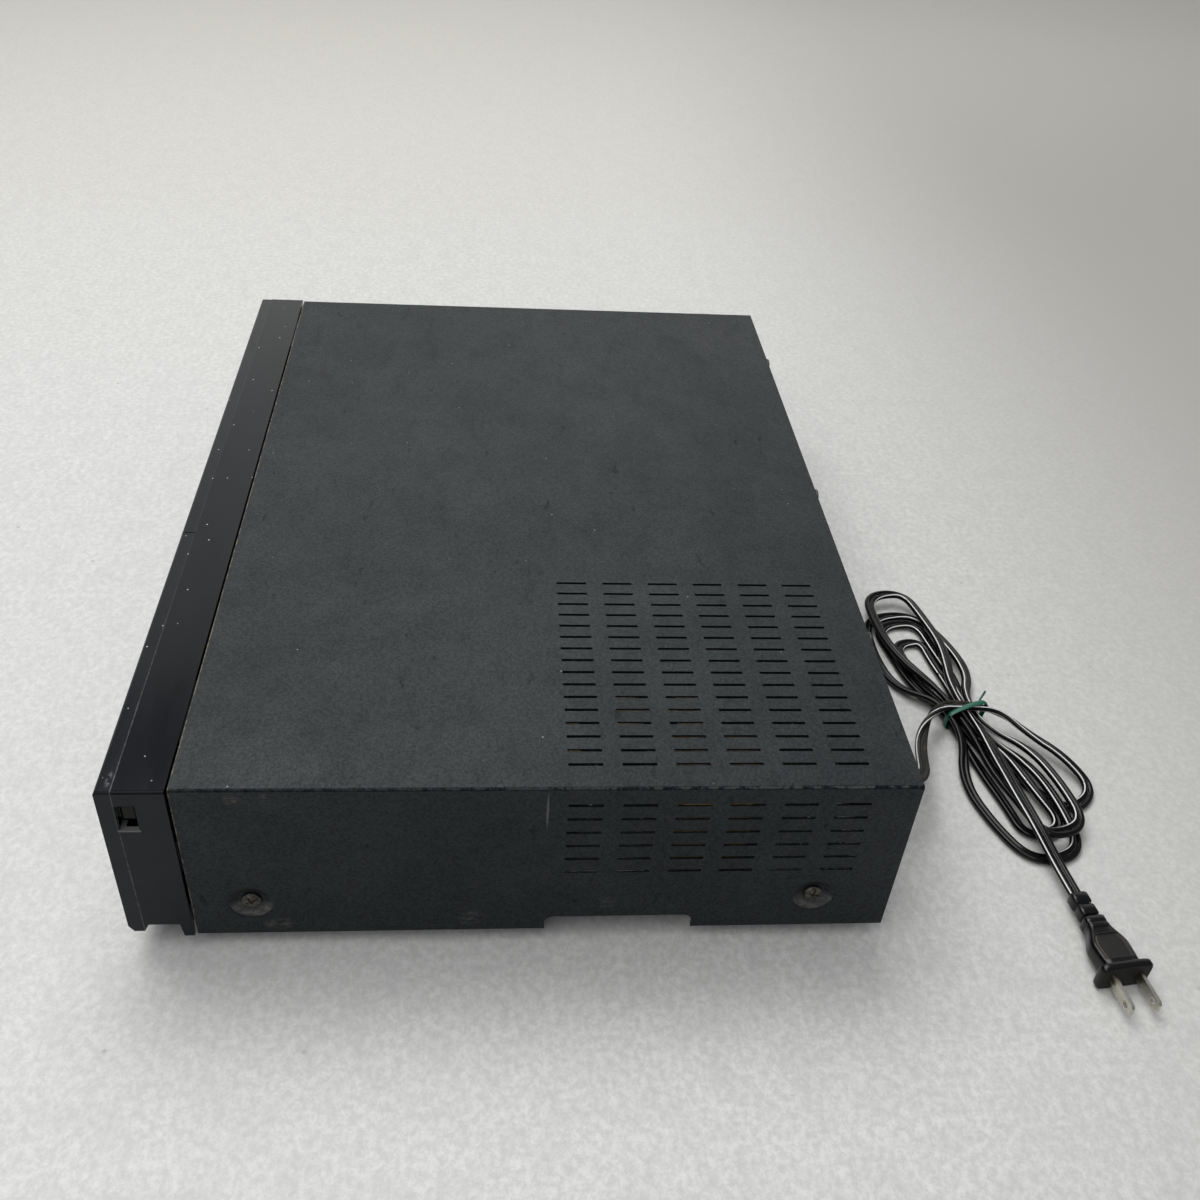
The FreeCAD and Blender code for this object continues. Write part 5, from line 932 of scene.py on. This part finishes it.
def smooth_line(name, points):
    """The places along a NURBS spline of order 3 that has these points as its control points."""
    curve = bpy.data.curves.new(name, "CURVE")
    curve.dimensions = "3D"
    spline = curve.splines.new("NURBS")
    spline.points.add(len(points) - 1)
    spline.points.foreach_set("co", np.hstack([points, np.ones((len(points), 1))]).ravel())
    spline.order_u = 3
    spline.use_endpoint_u = True
    spline.resolution_u = 12
    holder = bpy.data.objects.new(name, curve)
    line = bpy.data.meshes.new_from_object(holder)
    found = np.zeros(len(line.vertices) * 3)
    line.vertices.foreach_get("co", found)
    bpy.data.objects.remove(holder)
    return found.reshape(-1, 3)


def unit_rows(rows):
    return rows / np.linalg.norm(rows, axis=1)[:, None]


def distance_along(line):
    return np.concatenate([[0], np.cumsum(np.linalg.norm(np.diff(line, axis=0), axis=1))])


def eased(share):
    """A share from 0 to 1 that starts and ends gently: three times its square less twice its cube."""
    share = np.clip(share, 0, 1)
    return share * share * (3 - 2 * share)


def tube_along(name, line, tilt, outline):
    """A closed outline, given as distances to the side and up, carried along a line and turned by a tilt at
    each place. Its UV map has the distance along the line, in metres, and the share of the way round."""
    onward = unit_rows(np.gradient(line, axis=0))
    side = unit_rows(np.cross(onward, (0, 0, 1.0)))
    over = np.cross(side, onward)
    wide = side * np.cos(tilt)[:, None] + over * np.sin(tilt)[:, None]
    tall = over * np.cos(tilt)[:, None] - side * np.sin(tilt)[:, None]
    body = line[:, None] + wide[:, None] * outline[None, :, :1] + tall[:, None] * outline[None, :, 1:]
    share = np.arange(len(outline)) / len(outline)
    uv = np.broadcast_arrays(distance_along(line)[:, None], share[None, :])
    return grid_mesh(name, *np.moveaxis(body, -1, 0), ring=True, caps=True, uv=uv)


cord_line = smooth_line("cord_line", route)
onward = unit_rows(np.gradient(cord_line, axis=0))
gone = distance_along(cord_line)
core = cord_thickness / 2
offset = cord_width / 2 - core
# A strand off the table leans until its lower core is down, all the same way where they are tied. The lead
# makes half a turn about itself on its way from the gland.
from_waist = np.linalg.norm((cord_line - waist_centre)[:, :2], axis=1)
most = np.radians(20 + 26 * np.clip(1.7 - from_waist / 0.025, 0, 1))
lean = np.minimum(np.arcsin(np.clip((cord_line[:, 2] - core) / offset, 0, 0.8)), most)
same_way = np.clip(1.6 * onward @ waist_along, -1, 1)
settled = np.clip(np.minimum((gone - 0.100) / 0.02, (gone[-1] - gone - 0.085) / 0.04), 0, 1)
half_turn = math.pi * (1 - eased((gone - 0.050) / 0.055))
tilt = lean * same_way * settled + half_turn
angles = np.radians(np.linspace(27, 333, 17))
left_core = np.stack([-offset + core * np.cos(angles), core * np.sin(angles)], axis=1)
groove = np.array([[0.0, 0.44 * core]])
twin_outline = np.vstack([left_core, -groove, -left_core, groove])[::-1]
cord = tube_along("mains_cord", cord_line, tilt, twin_outline)

vinyl, tree, shader, where = material("cord_vinyl", (0.004, 0.004, 0.0045), 0.2, Specular_IOR_Level=0.21)
flat = split(tree, add(tree, "TexCoord").outputs["UV"])
white = 0.0
for middle in (0.1745, 0.3255):
    white = larger(tree, spread(tree, gap(tree, flat[1], middle), 0.0180, 0.0140), white)
ribbed = between(tree, flat[1], 0.52, 0.54, 0.98, 0.96)
rib = calc(tree, "SINE", times(tree, flat[1], 2 * math.pi * 52))
handled = noise(tree, where, 130.0, 3.0)
on_lead = spread(tree, flat[0], 0.16, 0.11, 0.05, 1.0)
dirt = times(tree, ribbed, spread(tree, handled, 0.40, 0.65, 0.15, 0.8))
base = blend(tree, times(tree, dirt, on_lead), (0.0018, 0.0018, 0.0022), (0.036, 0.030, 0.020))
ink_worn = times(tree, white, spread(tree, noise(tree, where, 420.0, 3.0), 0.24, 0.36))
feed(shader, Base_Color=blend(tree, ink_worn, base, (0.66, 0.66, 0.64)))
gloss = spread(tree, handled, 0.3, 0.7, 0.12, 0.19)
feed(shader, Roughness=calc(tree, "MULTIPLY_ADD", ribbed, 0.08, gloss))
ribbed = times(tree, ribbed, on_lead)
relief(shader, times(tree, rib, ribbed), 0.00004)
cord.data.materials.append(vinyl)
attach(cord, "recorder")
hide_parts("cord_lead", "cord_hank", "cord_tail")


# Plug: a two-blade plug moulded on to the cord in one shot of vinyl, with a strain relief in two steps,
# a shield-shaped grip with sunken, roughened panels, and a thick flange behind the blades.
steps = (0.0, 0.0002, 0.0008, 0.0052, 0.0057, 0.0059, 0.0069, 0.0071, 0.0077, 0.0119, 0.0125, 0.0127, 0.0137, 0.0139,
         0.0145, 0.0172, 0.0178)
half_widths = (0.0034, 0.0040, 0.0043, 0.0043, 0.0040, 0.0029, 0.0029, 0.0040, 0.0043, 0.0043, 0.0040, 0.0030, 0.0030,
               0.0048, 0.0052, 0.0052, 0.0049)
half_heights = (0.0028, 0.0034, 0.0037, 0.0037, 0.0034, 0.0025, 0.0025, 0.0034, 0.0037, 0.0037, 0.0034, 0.0026,
                0.0026, 0.0042, 0.0046, 0.0046, 0.0044)
grip_x = np.linspace(0.0182, 0.0396, 90)
share = (grip_x - grip_x[0]) / (grip_x[-1] - grip_x[0])
grip_w = 0.0056 + 0.0036 * eased(share / 0.52) - 0.0004 * eased((share - 0.6) / 0.4)
grip_h = 0.0046 + 0.0012 * share
flange_x = np.array([0.0398, 0.04000, 0.0401, 0.0404, 0.0409, 0.0431, 0.0436, 0.0439, 0.0440])
flange_w = np.array([0.0089, 0.0092, 0.0115, 0.0120, 0.0123, 0.0123, 0.0120, 0.0115, 0.0109])
flange_h = np.array([0.0058, 0.0060, 0.0066, 0.0071, 0.0074, 0.0074, 0.0071, 0.0066, 0.0060])
along_plug = np.concatenate([steps, grip_x, flange_x])
half_wide = np.concatenate([half_widths, grip_w, flange_w])
half_high = np.concatenate([half_heights, grip_h, flange_h])
squareness = np.repeat([5.0, 4.0, 6.0], [len(steps), len(grip_x), len(flange_x)])
rear_start, rear_stop, front_start, front_stop = 0.0200, 0.0238, 0.0243, 0.0372
panel_border, panel_slope, panel_depth = 0.0019, 0.0004, 0.0007


def plug_surface(name):
    """Rounded oblongs along the plug: at angle t the outline is cos t and sin t, each to the power 2 over the
    squareness, times the half width and half height. The grip's top and underside sink by the depth of its
    panels inside a border that follows its outline, with a low rib left across between the two panels. Its UV map
    has the distance along the plug and the distance in from its side, in metres."""
    turn = (np.arange(144) + 0.5) * 2 * math.pi / 144
    power = 2 / squareness[:, None]
    c, s = np.cos(turn)[None, :], np.sin(turn)[None, :]
    across = half_wide[:, None] * np.sign(c) * np.abs(c) ** power
    rise = half_high[:, None] * np.sign(s) * np.abs(s) ** power
    x = np.broadcast_to(along_plug[:, None], across.shape)
    from_side = half_wide[:, None] - np.abs(across)
    inside = np.clip((from_side - panel_border) / panel_slope, 0, 1)
    front_panel = np.clip((x - front_start) / 0.0003, 0, 1) * np.clip((front_stop - x) / panel_slope, 0, 1)
    rear_panel = np.clip((x - rear_start) / 0.0003, 0, 1) * np.clip((rear_stop - x) / 0.0003, 0, 1)
    level = np.clip((np.abs(rise) - 0.6 * half_high[:, None]) / (0.2 * half_high[:, None]), 0, 1)
    rise = rise - np.sign(rise) * panel_depth * inside * np.maximum(front_panel, rear_panel) * level
    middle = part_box("plug_body")[1].z / 2
    side = heading(plug_turn + 90)
    X = plug_start[0] + x * plug_heading[0] + across * side[0]
    Y = plug_start[1] + x * plug_heading[1] + across * side[1]
    return grid_mesh(name, X, Y, rise + middle, ring=True, caps=True, uv=(x, from_side))


plug = plug_surface("plug_moulding")
plug_vinyl, tree, shader, where = material("plug_vinyl", (0.005, 0.005, 0.0055), 0.26, Specular_IOR_Level=0.30)
flat = split(tree, add(tree, "TexCoord").outputs["UV"])
on_grip = between(tree, flat[0], 0.0243, 0.0247, 0.0371, 0.0367)
rough = times(tree, on_grip, spread(tree, flat[1], 0.0021, 0.0025))
on_face = spread(tree, flat[0], 0.0436, 0.0440)
stipple = noise(tree, where, 1900.0, 2.0, 0.7)
matt = larger(tree, rough, on_face)
rim = times(tree, spread(tree, gap(tree, flat[1], 0.0030), 0.00028, 0.00012), rough)
base = blend(tree, matt, (0.0026, 0.0026, 0.0030), (0.0085, 0.0080, 0.0070))
base = blend(tree, times(tree, rim, 0.7), base, (0.13, 0.11, 0.08))
feed(shader, Base_Color=base, Roughness=spread(tree, matt, 0.0, 1.0, 0.22, 0.62))
relief(shader, times(tree, stipple, matt), 0.0003)
plug.data.materials.append(plug_vinyl)
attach(plug, "recorder")
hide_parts("plug_body")


# Blades: nickel-plated brass strip, punched with a hole near the end. They are dull and browned
# where they leave the plug, and spotted with tarnish.
nickel, tree, shader, where = material("blade_nickel", (0.62, 0.60, 0.55), 0.3, Metallic=1.0)
centre = tuple(-c for c in (*plug_start[:2], 0.0))
from_face = add(tree, "Mapping", {"Vector": where, "Location": centre}).outputs[0]
from_face = add(tree, "Mapping", {"Vector": from_face, "Rotation": (0, 0, math.radians(-plug_turn))}).outputs[0]
reach = split(tree, from_face)[0]
rubbing = noise(tree, stretched(tree, from_face, 1.0, 6.0, 6.0), 160.0, 4.0, 0.6)
root = times(tree, spread(tree, reach, 0.0500, 0.0442), spread(tree, rubbing, 0.35, 0.6))
spots = spread(tree, noise(tree, where, 700.0, 3.0), 0.58, 0.70, 0.0, 0.5)
base = blend(tree, rubbing, (0.46, 0.44, 0.38), (0.68, 0.66, 0.59))
base = blend(tree, root, base, (0.22, 0.16, 0.08))
feed(shader, Base_Color=blend(tree, spots, base, (0.25, 0.22, 0.17)))
feed(shader, Roughness=spread(tree, rubbing, 0.3, 0.7, 0.38, 0.22))
relief(shader, rubbing, 0.00002)
finish(nickel, "plug_blades")


# Tie: a strip of green vinyl over a wire, wrapped once round the waist of the hank with the lead, its
# end left standing out beyond the far side.
tie_width, tie_skin = 0.0031, 0.00045
tie_across = heading(waist_heading + 90)
tie_corners = np.array([
    (-0.0040, 0.0004), (-0.0104, 0.0006), (-0.0107, 0.0050), (-0.0104, 0.0094), (-0.0070, 0.0118), (0.0000, 0.0143),
    (0.0060, 0.0154), (0.0094, 0.0154), (0.0116, 0.0142), (0.0114, 0.0108), (0.0106, 0.0080), (0.0102, 0.0040),
    (0.0096, 0.0006), (0.0040, 0.0004), (0.0000, 0.0004), (-0.0040, 0.0004),
])


def band(name, line, outward, half_width, skin, closed):
    """A strip carried along a line with its flat side facing outward: its section is a low oblong with a bead
    down the middle for the wire."""
    onward = np.roll(line, -1, axis=0) - np.roll(line, 1, axis=0) if closed else np.gradient(line, axis=0)
    onward = unit_rows(onward)
    side = unit_rows(np.cross(onward, outward))
    out = np.cross(side, onward)
    across = np.array([-1, -0.92, -0.45, -0.22, 0.0, 0.22, 0.45, 0.92, 1, 0.92, 0, -0.92]) * half_width
    height = np.array([0.5, 0.85, 0.85, 1.25, 1.5, 1.25, 0.85, 0.85, 0.5, 0.0, 0.0, 0.0]) * skin
    body = line[:, None] + side[:, None] * across[None, :, None] + out[:, None] * height[None, :, None]
    if closed:
        body = np.concatenate([body, body[:1]])
    made = grid_mesh(name, *np.moveaxis(body[:, ::-1], -1, 0), ring=True, caps=not closed)
    work = bmesh.new()
    work.from_mesh(made.data)
    bmesh.ops.remove_doubles(work, verts=work.verts, dist=1e-6)
    bmesh.ops.recalc_face_normals(work, faces=work.faces)
    work.to_mesh(made.data)
    work.free()
    return made


def at_waist(points):
    """Distances across the waist and up, as places."""
    return waist_centre * (1, 1, 0) + np.asarray(points)[:, :1] * tie_across + np.asarray(points)[:, 1:] * (0, 0, 1.0)


loop_line = smooth_line("tie_line", at_waist(tie_corners))[:-1]
loop_middle = loop_line.mean(axis=0)
tie = band("twist_tie_loop", loop_line, loop_line - loop_middle, tie_width / 2, tie_skin, True)
tail_line = smooth_line("tie_tail_line", at_waist([
    (0.0106, 0.0040), (0.0114, 0.0062), (0.0112, 0.0084), (0.0118, 0.0098), (0.0136, 0.0106), (0.0152, 0.0118),
    (0.0166, 0.0136),
]) - waist_along * np.array([0, 0.0022, 0.0046, 0.0064, 0.0078, 0.0088, 0.0096])[:, None])
tail = band("twist_tie_tail", tail_line, np.broadcast_to((0.3, 0.1, 1.0), tail_line.shape), 0.0006, 0.0004, False)
green, tree, shader, where = material("tie_vinyl", (0.004, 0.095, 0.060), 0.38)
creased = noise(tree, where, 700.0, 3.0)
feed(shader, Base_Color=blend(tree, creased, (0.002, 0.065, 0.040), (0.005, 0.115, 0.070)))
feed(shader, Roughness=spread(tree, creased, 0.3, 0.7, 0.30, 0.48))
relief(shader, creased, 0.0001, 0.6)
for piece in (tie, tail):
    piece.data.materials.append(green)
    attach(piece, "recorder")
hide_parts("twist_tie")


# Sizes: the box round what is shown, in metres.
low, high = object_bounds()
